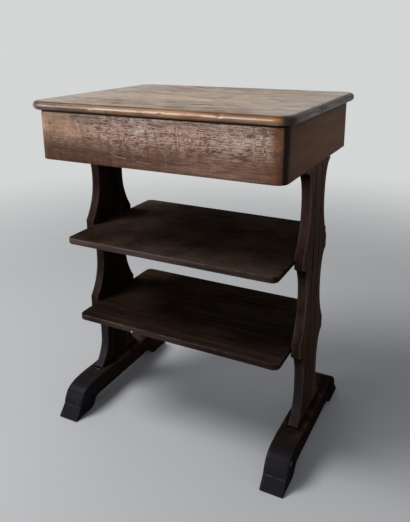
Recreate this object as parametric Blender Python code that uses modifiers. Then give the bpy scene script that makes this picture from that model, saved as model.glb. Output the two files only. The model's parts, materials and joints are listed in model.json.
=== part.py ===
"""Book table: a shallow lift-lid box over two open shelves, on scroll-cut legs with sled feet.

Metres, +Z up. The origin is on the floor, midway between the feet. +X is to the right and the
front of the table faces -Y. The lid turns on two butt hinges along the back of the box.
"""
import math

import bmesh
import bpy
from mathutils import Vector

# Fits
CLEARANCE = 0.0003
CUT_MARGIN = 0.004
EDGE_EASE = 0.001

# Lid
TABLE_HEIGHT = 0.740
LID_WIDTH = 0.553
LID_DEPTH = 0.440
LID_THICKNESS = 0.017
LID_NOSE_RADIUS = 0.0083
LID_CORNER_RADIUS = 0.032
LID_OVERHANG = 0.0145
LID_GAP = 0.0006
LID_BOARD_NAMES = ("lid_board_front", "lid_board_middle", "lid_board_rear")
BATTEN_LENGTH = 0.330
BATTEN_WIDTH = 0.035
BATTEN_THICKNESS = 0.012
BATTEN_INSET = 0.1095

# Box under the lid
BOX_HEIGHT = 0.100
END_BOARD_THICKNESS = 0.022
END_BOARD_RADIUS = 0.020
SIDE_BOARD_THICKNESS = 0.021
BOTTOM_THICKNESS = 0.006
BOTTOM_RAISE = 0.010
BOTTOM_GROOVE = 0.0045
CORNER_BLOCK_LEG = 0.026
CORNER_BLOCK_DROP = 0.018

# Legs
LEG_THICKNESS = 0.021
LEG_WIDTH = 0.152
LEG_WAIST = 0.092
LEG_BLOCK_DROP = 0.007
LEG_CORNER_RISE = 0.009
LEG_HEEL_RISE = 0.003
COVE_SHARE = 0.40
FLARE_SHARE = 0.54
FOOT_FLARE_SHARE = 0.42
GROOVE_SPACING = 0.040
GROOVE_WIDTH = 0.0076
GROOVE_DEPTH = 0.0026

# Feet
FOOT_LENGTH = 0.406
FOOT_WIDTH = 0.0495
FOOT_HEIGHT = 0.068
FOOT_FLAT_LENGTH = 0.190
FOOT_ROLL_HANDLE = 0.055
TOE_SETBACK = 0.022
TOE_HEIGHT = 0.025
TOE_HANDLE_IN = 0.009
TOE_HANDLE_UP = 0.037
PAD_LENGTH = 0.060
RELIEF_RUN = 0.031
RELIEF_HEIGHT = 0.022
TENON_DEPTH = 0.030
MORTISE_SLACK = 0.005

# Shelves
SHELF_THICKNESS = 0.0135
SHELF_CORNER_RADIUS = 0.015
SHELF_EDGE_RADIUS = 0.002
UPPER_SHELF_TOP = 0.443
UPPER_SHELF_DEPTH = 0.334
UPPER_SHELF_FORWARD = 0.005
LOWER_SHELF_TOP = 0.251
LOWER_SHELF_DEPTH = 0.297

# Dowels
DOWEL_RADIUS = 0.004
DOWEL_CHAMFER = 0.0008
DOWEL_SPACING = 0.090
LEG_DOWEL_LENGTH = 0.040
SHELF_DOWEL_LENGTH = 0.030
SHELF_DOWEL_IN_LEG = 0.012

# Hinges
HINGE_INSET = 0.0945
HINGE_LENGTH = 0.060
HINGE_SETBACK = 0.004
LEAF_WIDTH = 0.0205
LEAF_THICKNESS = 0.0016
KNUCKLE_RADIUS = 0.0032
KNUCKLE_COUNT = 5
PIN_RADIUS = 0.0015
PIN_HEAD_RADIUS = 0.0025
PIN_HEAD_LENGTH = 0.0012
LEAF_SCREW_SPACING = 0.036

# Screws: head radius, shank radius, length
LEAF_SCREW = (0.0028, 0.0014, 0.012)
BATTEN_SCREW = (0.0035, 0.0018, 0.024)
FOOT_SCREW = (0.0045, 0.0022, 0.050)
FOOT_SCREW_SPACING = 0.090
SCREW_TAPER_SHARE = 0.7

# Facets
ARC_STEPS = 7
CORNER_STEPS = 6
NOSE_STEPS = 4
TURNED_STEPS = 12
MERGE_DISTANCE = 0.00001
SHARP_ANGLE = math.radians(40)

# Places that follow from the sizes
LID_UNDERSIDE = TABLE_HEIGHT - LID_THICKNESS
BOX_TOP = LID_UNDERSIDE - LID_GAP
BOX_BOTTOM = BOX_TOP - BOX_HEIGHT
BOX_HALF_WIDTH = LID_WIDTH / 2 - LID_OVERHANG
BOX_HALF_DEPTH = LID_DEPTH / 2 - LID_OVERHANG
BOX_INNER_WIDTH = 2 * (BOX_HALF_WIDTH - SIDE_BOARD_THICKNESS)
BOX_INNER_DEPTH = 2 * (BOX_HALF_DEPTH - END_BOARD_THICKNESS)
BOTTOM_TOP = BOX_BOTTOM + BOTTOM_RAISE + BOTTOM_THICKNESS
LEG_INNER = BOX_HALF_WIDTH - LEG_THICKNESS
LEG_CENTRE = BOX_HALF_WIDTH - LEG_THICKNESS / 2
LEG_FOOT_END = FOOT_HEIGHT - TENON_DEPTH
HINGE_AXIS = Vector((0, BOX_HALF_DEPTH + HINGE_SETBACK, BOX_TOP + LID_GAP / 2))
KNUCKLE_LENGTH = HINGE_LENGTH / KNUCKLE_COUNT
LEAF_EDGE = KNUCKLE_RADIUS + CLEARANCE
LEAF_SCREW_REACH = (LEAF_WIDTH + LEAF_EDGE) / 2
SIDES = {"left": -1, "right": 1}
ENDS = {"front": -1, "back": 1}

UP = (0, 0, 0)
UPSIDE_DOWN = (math.pi, 0, 0)
ALONG_X = (0, math.pi / 2, 0)
SIDE_VIEW = (math.pi / 2, 0, math.pi / 2)


def clear_scene():
    for obj in list(bpy.data.objects):
        bpy.data.objects.remove(obj, do_unlink=True)


def new_collection(name):
    group = bpy.data.collections.new(name)
    bpy.context.scene.collection.children.link(group)
    return group


def finish(name, colour, roughness, metallic=0.0):
    """A plain surface finish."""
    material = bpy.data.materials.new(name)
    material.use_nodes = True
    shader = material.node_tree.nodes["Principled BSDF"]
    shader.inputs["Base Color"].default_value = (*colour, 1.0)
    shader.inputs["Roughness"].default_value = roughness
    shader.inputs["Metallic"].default_value = metallic
    return material


clear_scene()
PARTS = new_collection("book_table")
CUTTERS = new_collection("cutters")

LID_WOOD = finish("lid_wood", (0.20, 0.125, 0.08), 0.45)
APRON_WOOD = finish("apron_wood", (0.17, 0.075, 0.04), 0.45)
DARK_WOOD = finish("dark_wood", (0.045, 0.024, 0.018), 0.50)
INNER_WOOD = finish("inner_wood", (0.36, 0.25, 0.15), 0.75)
DOWEL_WOOD = finish("dowel_wood", (0.50, 0.36, 0.22), 0.70)
HINGE_BRASS = finish("hinge_brass", (0.42, 0.31, 0.14), 0.40, 1.0)
SCREW_STEEL = finish("screw_steel", (0.38, 0.36, 0.33), 0.45, 1.0)


def anchor(name, place):
    """An empty that carries the pieces of one body."""
    empty = bpy.data.objects.new(name, None)
    empty.location = place
    PARTS.objects.link(empty)
    return empty


TABLE = anchor("table_frame", (0, 0, 0))
LID = anchor("lid_hinge_axis", HINGE_AXIS)


def add_object(name, mesh, place, turn=UP, wood=None, body=TABLE):
    """Puts a mesh in the scene at a place in the table's frame. Without a finish it is a cutter."""
    obj = bpy.data.objects.new(name, mesh)
    obj.parent = body
    obj.location = Vector(place) - body.location
    obj.rotation_euler = turn
    if wood is None:
        CUTTERS.objects.link(obj)
        obj.hide_render = True
        obj.display_type = "WIRE"
    else:
        PARTS.objects.link(obj)
        mesh.materials.append(wood)
    return obj


def block(name, low, high, wood=None, body=TABLE, ease=0.0):
    """A rectangular piece between two corners, with eased edges if asked."""
    low, high = Vector(low), Vector(high)
    shape = bmesh.new()
    bmesh.ops.create_cube(shape, size=1.0)
    bmesh.ops.scale(shape, vec=high - low, verts=shape.verts)
    mesh = bpy.data.meshes.new(name)
    shape.to_mesh(mesh)
    shape.free()
    obj = add_object(name, mesh, (low + high) / 2, UP, wood, body)
    if ease:
        bevel = obj.modifiers.new("ease", "BEVEL")
        bevel.width = ease
        bevel.segments = 1
    return obj


def turned(name, profile, place, turn=UP, wood=None, body=TABLE, ring=False):
    """A round piece: a profile of radius and height, run down its outer side, turned about its axis.

    A ring's profile is a closed loop that stays clear of the axis.
    """
    mesh = bpy.data.meshes.new(name)
    points = [(radius, 0, height) for radius, height in profile]
    edges = [(i, i + 1) for i in range(len(points) - 1)]
    if ring:
        edges.append((len(points) - 1, 0))
    mesh.from_pydata(points, edges, [])
    obj = add_object(name, mesh, place, turn, wood, body)
    screw = obj.modifiers.new("turn", "SCREW")
    screw.steps = screw.render_steps = TURNED_STEPS
    screw.use_merge_vertices = True
    screw.merge_threshold = MERGE_DISTANCE
    return obj


def outlined(name, outline, thickness, edge_radius, place, turn=UP, wood=None, body=TABLE, steps=0):
    """A board cut to a flat outline, its edges rounded, centred on its thickness."""
    curve = bpy.data.curves.new(name + "_outline", "CURVE")
    curve.dimensions = "2D"
    curve.fill_mode = "BOTH"
    curve.extrude = thickness / 2 - edge_radius
    curve.bevel_depth = edge_radius
    curve.bevel_resolution = steps
    curve.offset = -edge_radius
    spline = curve.splines.new("POLY")
    spline.points.add(len(outline) - 1)
    for point, (u, v) in zip(spline.points, outline):
        point.co = (u, v, 0, 1)
    spline.use_cyclic_u = True
    drawing = bpy.data.objects.new(name + "_outline", curve)
    CUTTERS.objects.link(drawing)
    bpy.context.view_layer.update()
    depsgraph = bpy.context.evaluated_depsgraph_get()
    mesh = bpy.data.meshes.new_from_object(drawing.evaluated_get(depsgraph))
    bpy.data.objects.remove(drawing, do_unlink=True)
    mesh.name = name
    mesh.materials.clear()
    shape = bmesh.new()
    shape.from_mesh(mesh)
    bmesh.ops.remove_doubles(shape, verts=shape.verts, dist=MERGE_DISTANCE)
    bmesh.ops.recalc_face_normals(shape, faces=shape.faces)
    shape.to_mesh(mesh)
    shape.free()
    mesh.shade_smooth()
    mesh.set_sharp_from_angle(angle=SHARP_ANGLE)
    return add_object(name, mesh, place, turn, wood, body)


def boolean(piece, tool, operation="DIFFERENCE"):
    step = piece.modifiers.new(operation.lower(), "BOOLEAN")
    step.operation = operation
    step.solver = "EXACT"
    step.object = tool


def cut(tool, *pieces):
    for piece in pieces:
        boolean(piece, tool)


def arc(centre, radii, start, end, steps=ARC_STEPS):
    """Points along an ellipse's arc, from one angle to another, in degrees."""
    angles = [math.radians(start + (end - start) * i / steps) for i in range(steps + 1)]
    return [(centre[0] + radii[0] * math.cos(a), centre[1] + radii[1] * math.sin(a)) for a in angles]


def bezier(start, start_handle, end_handle, end, steps=ARC_STEPS):
    """Points along a cubic curve."""
    points = []
    for i in range(steps + 1):
        t = i / steps
        weights = ((1 - t) ** 3, 3 * t * (1 - t) ** 2, 3 * t * t * (1 - t), t ** 3)
        corners = (start, start_handle, end_handle, end)
        points.append(tuple(sum(w * c[k] for w, c in zip(weights, corners)) for k in (0, 1)))
    return points


def rounded_rectangle(width, depth, front_radius, back_radius):
    """A plan outline whose front and back corners are rounded; a radius of 0 is a square corner."""
    outline = []
    corners = (
        (-1, -1, front_radius, 180),
        (1, -1, front_radius, 270),
        (1, 1, back_radius, 0),
        (-1, 1, back_radius, 90),
    )
    for side, end, radius, start in corners:
        centre = (side * (width / 2 - radius), end * (depth / 2 - radius))
        outline += arc(centre, (radius, radius), start, start + 90, CORNER_STEPS) if radius else [centre]
    return outline


def mirrored(half):
    """Closes a half outline, given at positive u, with its mirror image."""
    return half + [(-u, v) for u, v in reversed(half)]


def dowel_profile(length, grow=0.0):
    radius = DOWEL_RADIUS + grow
    half = length / 2 + grow
    tip = radius - DOWEL_CHAMFER
    shoulder = half - DOWEL_CHAMFER
    return [(0, half), (tip, half), (radius, shoulder), (radius, -shoulder), (tip, -half), (0, -half)]


def add_dowel(name, length, place, turn, pieces):
    turned(name, dowel_profile(length), place, turn, DOWEL_WOOD)
    cut(turned(name + "_hole", dowel_profile(length, CLEARANCE), place, turn), *pieces)


def screw_profile(size, grow=0.0, mouth=0.0):
    """A countersunk wood screw, head up at height 0. A hole's mouth runs on above the head."""
    head, shank, length = size
    head, shank = head + grow, shank + grow
    neck = -(head - shank) - grow
    taper = -SCREW_TAPER_SHARE * length
    top = [(0, mouth), (head, mouth)] if mouth else [(0, -CLEARANCE)]
    return top + [(head, -CLEARANCE), (shank, neck), (shank, taper), (0, -length - grow)]


def add_screw(name, size, place, turn, pieces, body=TABLE):
    turned(name, screw_profile(size), place, turn, SCREW_STEEL, body)
    hole = screw_profile(size, CLEARANCE, CUT_MARGIN)
    cut(turned(name + "_hole", hole, place, turn, None, body), *pieces)


def build_lid():
    """Three edge-glued boards with a rounded nose all round, held flat by two battens."""
    outline = rounded_rectangle(LID_WIDTH, LID_DEPTH, LID_CORNER_RADIUS, LID_CORNER_RADIUS)
    middle = (0, 0, LID_UNDERSIDE + LID_THICKNESS / 2)
    half_width = LID_WIDTH / 2 + CUT_MARGIN
    board_width = LID_DEPTH / len(LID_BOARD_NAMES)
    joints = [-LID_DEPTH / 2 + i * board_width for i in range(len(LID_BOARD_NAMES) + 1)]
    joints[0] -= CUT_MARGIN
    joints[-1] += CUT_MARGIN
    boards = []
    for name, front, back in zip(LID_BOARD_NAMES, joints, joints[1:]):
        board = outlined(name, outline, LID_THICKNESS, LID_NOSE_RADIUS, middle, UP, LID_WOOD, LID, NOSE_STEPS)
        low = (-half_width, front + CLEARANCE / 2, LID_UNDERSIDE - CUT_MARGIN)
        high = (half_width, back - CLEARANCE / 2, TABLE_HEIGHT + CUT_MARGIN)
        boolean(board, block(name + "_limits", low, high, None, LID), "INTERSECT")
        boards.append(board)
    batten_top = LID_UNDERSIDE - CLEARANCE
    for side, sign in SIDES.items():
        x = sign * (BOX_HALF_WIDTH - BATTEN_INSET)
        low = (x - BATTEN_WIDTH / 2, -BATTEN_LENGTH / 2, batten_top - BATTEN_THICKNESS)
        high = (x + BATTEN_WIDTH / 2, BATTEN_LENGTH / 2, batten_top)
        batten = block(f"lid_batten_{side}", low, high, INNER_WOOD, LID, EDGE_EASE)
        reach = min(board_width, BATTEN_LENGTH / 2 - BATTEN_WIDTH / 2)
        for board, label, y in zip(boards, ("front", "middle", "rear"), (-reach, 0, reach)):
            place = (x, y, batten_top - BATTEN_THICKNESS)
            add_screw(f"batten_screw_{side}_{label}", BATTEN_SCREW, place, UPSIDE_DOWN, (batten, board), LID)
    return boards


def build_box():
    """Front and back boards with rounded ends, two sides between them, a bottom let into grooves."""
    boards = {}
    height = BOX_HEIGHT
    middle_z = BOX_BOTTOM + height / 2
    for end, sign in ENDS.items():
        radii = (END_BOARD_RADIUS, 0) if sign < 0 else (0, END_BOARD_RADIUS)
        outline = rounded_rectangle(2 * BOX_HALF_WIDTH, END_BOARD_THICKNESS, *radii)
        place = (0, sign * (BOX_HALF_DEPTH - END_BOARD_THICKNESS / 2), middle_z)
        boards[end] = outlined(f"box_{end}", outline, height, EDGE_EASE, place, UP, APRON_WOOD)
    side_half = BOX_INNER_DEPTH / 2 - CLEARANCE
    for side, sign in SIDES.items():
        inner = sign * BOX_INNER_WIDTH / 2
        outer = sign * BOX_HALF_WIDTH
        low = (min(inner, outer), -side_half, BOX_BOTTOM)
        high = (max(inner, outer), side_half, BOX_TOP)
        boards[side] = block(f"box_side_{side}", low, high, APRON_WOOD, TABLE, EDGE_EASE)
    half_x = BOX_INNER_WIDTH / 2 + BOTTOM_GROOVE
    half_y = BOX_INNER_DEPTH / 2 + BOTTOM_GROOVE
    low = Vector((-half_x, -half_y, BOTTOM_TOP - BOTTOM_THICKNESS))
    high = Vector((half_x, half_y, BOTTOM_TOP))
    block("box_bottom", low, high, INNER_WOOD)
    room = Vector((CLEARANCE, CLEARANCE, CLEARANCE))
    cut(block("bottom_groove", low - room, high + room), *boards.values())
    build_corner_blocks()
    return boards


def build_corner_blocks():
    """A triangular glue block stands in each inner corner of the box."""
    low = BOTTOM_TOP + CLEARANCE
    height = BOX_TOP - CORNER_BLOCK_DROP - low
    outline = [(0, 0), (CORNER_BLOCK_LEG, 0), (0, CORNER_BLOCK_LEG)]
    turns = {("left", "front"): 0, ("right", "front"): 90, ("right", "back"): 180, ("left", "back"): 270}
    for (side, end), turn in turns.items():
        x = SIDES[side] * (BOX_INNER_WIDTH / 2 - CLEARANCE)
        y = ENDS[end] * (BOX_INNER_DEPTH / 2 - 2 * CLEARANCE)
        place = (x, y, low + height / 2)
        name = f"corner_block_{side}_{end}"
        outlined(name, outline, height, EDGE_EASE, place, (0, 0, math.radians(turn)), INNER_WOOD)


def leg_bay(top, bottom, flare_share):
    """One bay of the leg's edge, downwards: a cove under the block, the waist, a flare to the next block."""
    block_half = LEG_WIDTH / 2
    waist = LEG_WAIST / 2
    depth = block_half - waist
    cove = COVE_SHARE * (top - bottom)
    flare = flare_share * (top - bottom)
    flare_radius = (flare ** 2 + depth ** 2) / (2 * depth)
    sweep = math.degrees(math.asin(min(1.0, flare / flare_radius)))
    flare_centre = (waist + flare_radius, bottom + flare)
    points = arc((block_half, top - cove), (depth, cove), 90, 180)
    return points + arc(flare_centre, (flare_radius, flare_radius), 180, 180 + sweep)


def leg_outline():
    """The leg seen from the side: u is depth, v is height."""
    shelf_underside = {
        "upper": UPPER_SHELF_TOP - SHELF_THICKNESS,
        "lower": LOWER_SHELF_TOP - SHELF_THICKNESS,
    }
    half = [(LEG_WIDTH / 2, BOX_BOTTOM - CLEARANCE)]
    half += leg_bay(BOX_BOTTOM - LEG_BLOCK_DROP, UPPER_SHELF_TOP + LEG_CORNER_RISE, FLARE_SHARE)
    half += leg_bay(shelf_underside["upper"] - LEG_BLOCK_DROP, LOWER_SHELF_TOP + LEG_CORNER_RISE, FLARE_SHARE)
    half += leg_bay(shelf_underside["lower"] - LEG_BLOCK_DROP, FOOT_HEIGHT + LEG_HEEL_RISE, FOOT_FLARE_SHARE)
    half.append((LEG_WIDTH / 2, LEG_FOOT_END))
    return mirrored(half)


def build_leg(side, sign, box_side):
    """A scroll-cut plate, grooved on its outer face, dowelled up into the box's side."""
    outline = leg_outline()
    x = sign * LEG_CENTRE
    leg = outlined(f"leg_{side}", outline, LEG_THICKNESS, EDGE_EASE, (x, 0, 0), SIDE_VIEW, DARK_WOOD)
    groove_radius = GROOVE_WIDTH / 2
    groove_x = sign * (BOX_HALF_WIDTH + groove_radius - GROOVE_DEPTH)
    low, high = LEG_FOOT_END - CUT_MARGIN, BOX_BOTTOM + CUT_MARGIN
    profile = [(0, high), (groove_radius, high), (groove_radius, low), (0, low)]
    for label, end in ENDS.items():
        place = (groove_x, end * GROOVE_SPACING / 2, 0)
        cut(turned(f"leg_groove_{side}_{label}", profile, place), leg)
        place = (x, end * DOWEL_SPACING / 2, BOX_BOTTOM)
        add_dowel(f"leg_dowel_{side}_{label}", LEG_DOWEL_LENGTH, place, UP, (leg, box_side))
    return leg


def foot_outline():
    """The sled foot seen from the side: sloped toes, rolled shoulders and a relieved underside."""
    half_length = FOOT_LENGTH / 2
    flat = (FOOT_FLAT_LENGTH / 2, FOOT_HEIGHT)
    toe = (half_length - TOE_SETBACK, TOE_HEIGHT)
    flat_handle = (flat[0] + FOOT_ROLL_HANDLE, FOOT_HEIGHT)
    toe_handle = (toe[0] - TOE_HANDLE_IN, toe[1] + TOE_HANDLE_UP)
    half = bezier(flat, flat_handle, toe_handle, toe, 2 * ARC_STEPS)
    half.append((half_length, 0))
    pad_end = (half_length - PAD_LENGTH, 0)
    relief = (pad_end[0] - RELIEF_RUN, RELIEF_HEIGHT)
    bend = RELIEF_RUN / 2
    half += bezier(pad_end, (pad_end[0] - bend, 0), (relief[0] + bend, RELIEF_HEIGHT), relief)
    return mirrored(half)


def build_foot(side, sign, leg):
    """A sled foot with a long mortise for the leg, screwed up into it from below."""
    x = sign * LEG_CENTRE
    foot = outlined(f"foot_{side}", foot_outline(), FOOT_WIDTH, EDGE_EASE, (x, 0, 0), SIDE_VIEW, DARK_WOOD)
    half_x = LEG_THICKNESS / 2 + CLEARANCE
    half_y = LEG_WIDTH / 2 + MORTISE_SLACK
    low = (x - half_x, -half_y, LEG_FOOT_END - CLEARANCE)
    high = (x + half_x, half_y, FOOT_HEIGHT + CUT_MARGIN)
    cut(block(f"mortise_{side}", low, high), foot)
    for label, end in ENDS.items():
        place = (x, end * FOOT_SCREW_SPACING / 2, RELIEF_HEIGHT)
        add_screw(f"foot_screw_{side}_{label}", FOOT_SCREW, place, UPSIDE_DOWN, (foot, leg))


def build_shelf(level, top, depth, forward, legs):
    """A round-cornered shelf between the legs, dowelled into their inner faces."""
    length = 2 * (LEG_INNER - CLEARANCE)
    outline = rounded_rectangle(length, depth, SHELF_CORNER_RADIUS, SHELF_CORNER_RADIUS)
    middle_z = top - SHELF_THICKNESS / 2
    name = f"shelf_{level}"
    place = (0, -forward, middle_z)
    shelf = outlined(name, outline, SHELF_THICKNESS, SHELF_EDGE_RADIUS, place, UP, DARK_WOOD, TABLE, 1)
    for side, sign in SIDES.items():
        x = sign * (LEG_INNER + SHELF_DOWEL_IN_LEG - SHELF_DOWEL_LENGTH / 2)
        for label, end in ENDS.items():
            place = (x, end * DOWEL_SPACING / 2, middle_z)
            name = f"shelf_dowel_{level}_{side}_{label}"
            add_dowel(name, SHELF_DOWEL_LENGTH, place, ALONG_X, (shelf, legs[side]))


def leaf_outline(knuckles):
    """A hinge leaf's plan about the hinge axis: a plate with a tongue at each of its knuckles."""
    half = HINGE_LENGTH / 2
    tongue_end = -(PIN_RADIUS + KNUCKLE_RADIUS) / 2
    outline = [(half, -LEAF_EDGE), (half, -LEAF_WIDTH), (-half, -LEAF_WIDTH), (-half, -LEAF_EDGE)]
    for i in knuckles:
        low = -half + i * KNUCKLE_LENGTH + 2 * CLEARANCE
        high = low + KNUCKLE_LENGTH - 4 * CLEARANCE
        outline += [(low, -LEAF_EDGE), (low, tongue_end), (high, tongue_end), (high, -LEAF_EDGE)]
    return outline


def build_leaf(name, x, up, knuckles, body):
    """One leaf of a butt hinge with its knuckles, bored for the pin."""
    plate_z = HINGE_AXIS.z + up * (CLEARANCE + LEAF_THICKNESS / 2)
    place = (x, HINGE_AXIS.y, plate_z)
    leaf = outlined(name, leaf_outline(knuckles), LEAF_THICKNESS, 0.0, place, UP, HINGE_BRASS, body)
    half = KNUCKLE_LENGTH / 2 - CLEARANCE / 2
    bore = PIN_RADIUS + CLEARANCE
    barrel = [(KNUCKLE_RADIUS, half), (KNUCKLE_RADIUS, -half), (bore, -half), (bore, half)]
    for i in knuckles:
        centre = x - HINGE_LENGTH / 2 + (i + 0.5) * KNUCKLE_LENGTH
        place = (centre, HINGE_AXIS.y, HINGE_AXIS.z)
        knuckle = turned(f"{name}_knuckle_{i}", barrel, place, ALONG_X, None, body, True)
        boolean(leaf, knuckle, "UNION")
    return leaf


def build_hinge(side, sign, back_board, lid_board):
    """A butt hinge let into the back board's top edge and the lid's underside."""
    x = sign * (BOX_HALF_WIDTH - HINGE_INSET)
    knuckles = range(KNUCKLE_COUNT)
    box_leaf = build_leaf(f"hinge_box_leaf_{side}", x, -1, knuckles[0::2], TABLE)
    lid_leaf = build_leaf(f"hinge_lid_leaf_{side}", x, 1, knuckles[1::2], LID)

    shoulder = HINGE_LENGTH / 2 + CLEARANCE
    tip = shoulder + PIN_HEAD_LENGTH
    pin = [(0, tip), (PIN_HEAD_RADIUS, tip), (PIN_HEAD_RADIUS, shoulder), (PIN_RADIUS, shoulder)]
    pin += [(radius, -height) for radius, height in reversed(pin)]
    turned(f"hinge_pin_{side}", pin, (x, HINGE_AXIS.y, HINGE_AXIS.z), ALONG_X, HINGE_BRASS)

    half = HINGE_LENGTH / 2 + CLEARANCE
    front = HINGE_AXIS.y - LEAF_WIDTH - CLEARANCE
    leaf_reach = 2 * CLEARANCE + LEAF_THICKNESS
    low = (x - half, front, HINGE_AXIS.z - leaf_reach)
    high = (x + half, BOX_HALF_DEPTH + CUT_MARGIN, BOX_TOP + CUT_MARGIN)
    cut(block(f"hinge_box_recess_{side}", low, high), back_board)
    low = (x - half, front, LID_UNDERSIDE - CUT_MARGIN)
    high = (x + half, HINGE_AXIS.y, HINGE_AXIS.z + leaf_reach)
    cut(block(f"hinge_lid_recess_{side}", low, high, None, LID), lid_board)
    barrel_room = KNUCKLE_RADIUS + 2 * CLEARANCE
    half = tip + CLEARANCE
    low = (x - half, HINGE_AXIS.y - barrel_room, LID_UNDERSIDE - CUT_MARGIN)
    high = (x + half, HINGE_AXIS.y + barrel_room, HINGE_AXIS.z + barrel_room)
    cut(block(f"hinge_barrel_notch_{side}", low, high, None, LID), lid_board)

    screw_y = HINGE_AXIS.y - LEAF_SCREW_REACH
    for label, end in (("outer", sign), ("inner", -sign)):
        screw_x = x + end * LEAF_SCREW_SPACING / 2
        place = (screw_x, screw_y, HINGE_AXIS.z - CLEARANCE)
        add_screw(f"hinge_box_screw_{side}_{label}", LEAF_SCREW, place, UP, (box_leaf, back_board))
        place = (screw_x, screw_y, HINGE_AXIS.z + CLEARANCE)
        add_screw(f"hinge_lid_screw_{side}_{label}", LEAF_SCREW, place, UPSIDE_DOWN, (lid_leaf, lid_board), LID)


def build_table():
    lid_boards = build_lid()
    box_boards = build_box()
    legs = {}
    for side, sign in SIDES.items():
        legs[side] = build_leg(side, sign, box_boards[side])
        build_foot(side, sign, legs[side])
        build_hinge(side, sign, box_boards["back"], lid_boards[-1])
    build_shelf("upper", UPPER_SHELF_TOP, UPPER_SHELF_DEPTH, UPPER_SHELF_FORWARD, legs)
    build_shelf("lower", LOWER_SHELF_TOP, LOWER_SHELF_DEPTH, 0, legs)


build_table()
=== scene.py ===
"""Book table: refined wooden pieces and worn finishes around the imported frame, laid out as an add-on.

Metres, +Z up. The front of the table faces -Y, as in the frame.
"""
import json
import math
from functools import reduce

import bmesh
import bpy
import numpy as np
from bpy.props import FloatProperty, FloatVectorProperty, PointerProperty
from mathutils import Euler, Matrix, Vector, geometry, kdtree, noise


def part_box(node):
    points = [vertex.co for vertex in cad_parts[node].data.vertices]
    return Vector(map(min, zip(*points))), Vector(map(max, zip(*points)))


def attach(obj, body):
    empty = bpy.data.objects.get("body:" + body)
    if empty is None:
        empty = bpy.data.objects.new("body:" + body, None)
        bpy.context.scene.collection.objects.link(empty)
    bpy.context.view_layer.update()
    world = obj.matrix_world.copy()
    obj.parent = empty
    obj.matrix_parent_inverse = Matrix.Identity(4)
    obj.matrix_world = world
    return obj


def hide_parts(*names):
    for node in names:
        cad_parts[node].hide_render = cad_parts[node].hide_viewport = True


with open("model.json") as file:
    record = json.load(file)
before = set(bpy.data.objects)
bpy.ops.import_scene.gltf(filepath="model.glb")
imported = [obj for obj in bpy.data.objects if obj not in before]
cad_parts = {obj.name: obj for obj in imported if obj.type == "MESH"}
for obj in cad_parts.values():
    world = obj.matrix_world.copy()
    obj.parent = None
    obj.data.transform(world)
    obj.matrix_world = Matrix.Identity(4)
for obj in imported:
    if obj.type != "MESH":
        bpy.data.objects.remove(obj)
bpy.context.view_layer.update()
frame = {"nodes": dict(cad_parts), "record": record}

bl_info = {
    "name": "Book Table",
    "version": (1, 0, 0),
    "blender": (4, 5, 0),
    "location": "View3D > Sidebar > Book Table",
    "description": "A worn wooden book table with a lift-lid box and two shelves",
    "category": "Add Mesh",
}

X_AXIS, Y_AXIS, Z_AXIS = 0, 1, 2
PLAN = (X_AXIS, Y_AXIS, Z_AXIS)
SIDE_VIEW = (Y_AXIS, Z_AXIS, X_AXIS)
SIDES = {"left": -1, "right": 1}
ENDS = {"front": -1, "back": 1}
EDGE = "edge_distance"
SHARP_ANGLE = math.radians(25)
PAST = 0.01  # how far a cutting tool runs past a surface
STAGGER = 0.866  # distance between the rows of a staggered grid, as a share of its spacing


def colour(name, description, default):
    return FloatVectorProperty(
        name=name, description=description, default=default, size=3, min=0.0, max=1.0, subtype="COLOR"
    )


def length(name, description, default):
    return FloatProperty(
        name=name, description=description, default=default, min=0.0, precision=5,
        subtype="DISTANCE", unit="LENGTH"
    )


def share(name, description, default):
    return FloatProperty(
        name=name, description=description, default=default, min=0.0, max=1.0, subtype="FACTOR"
    )


def power(name, description, default):
    return FloatProperty(name=name, description=description, default=default, min=0.0, unit="POWER")


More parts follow.
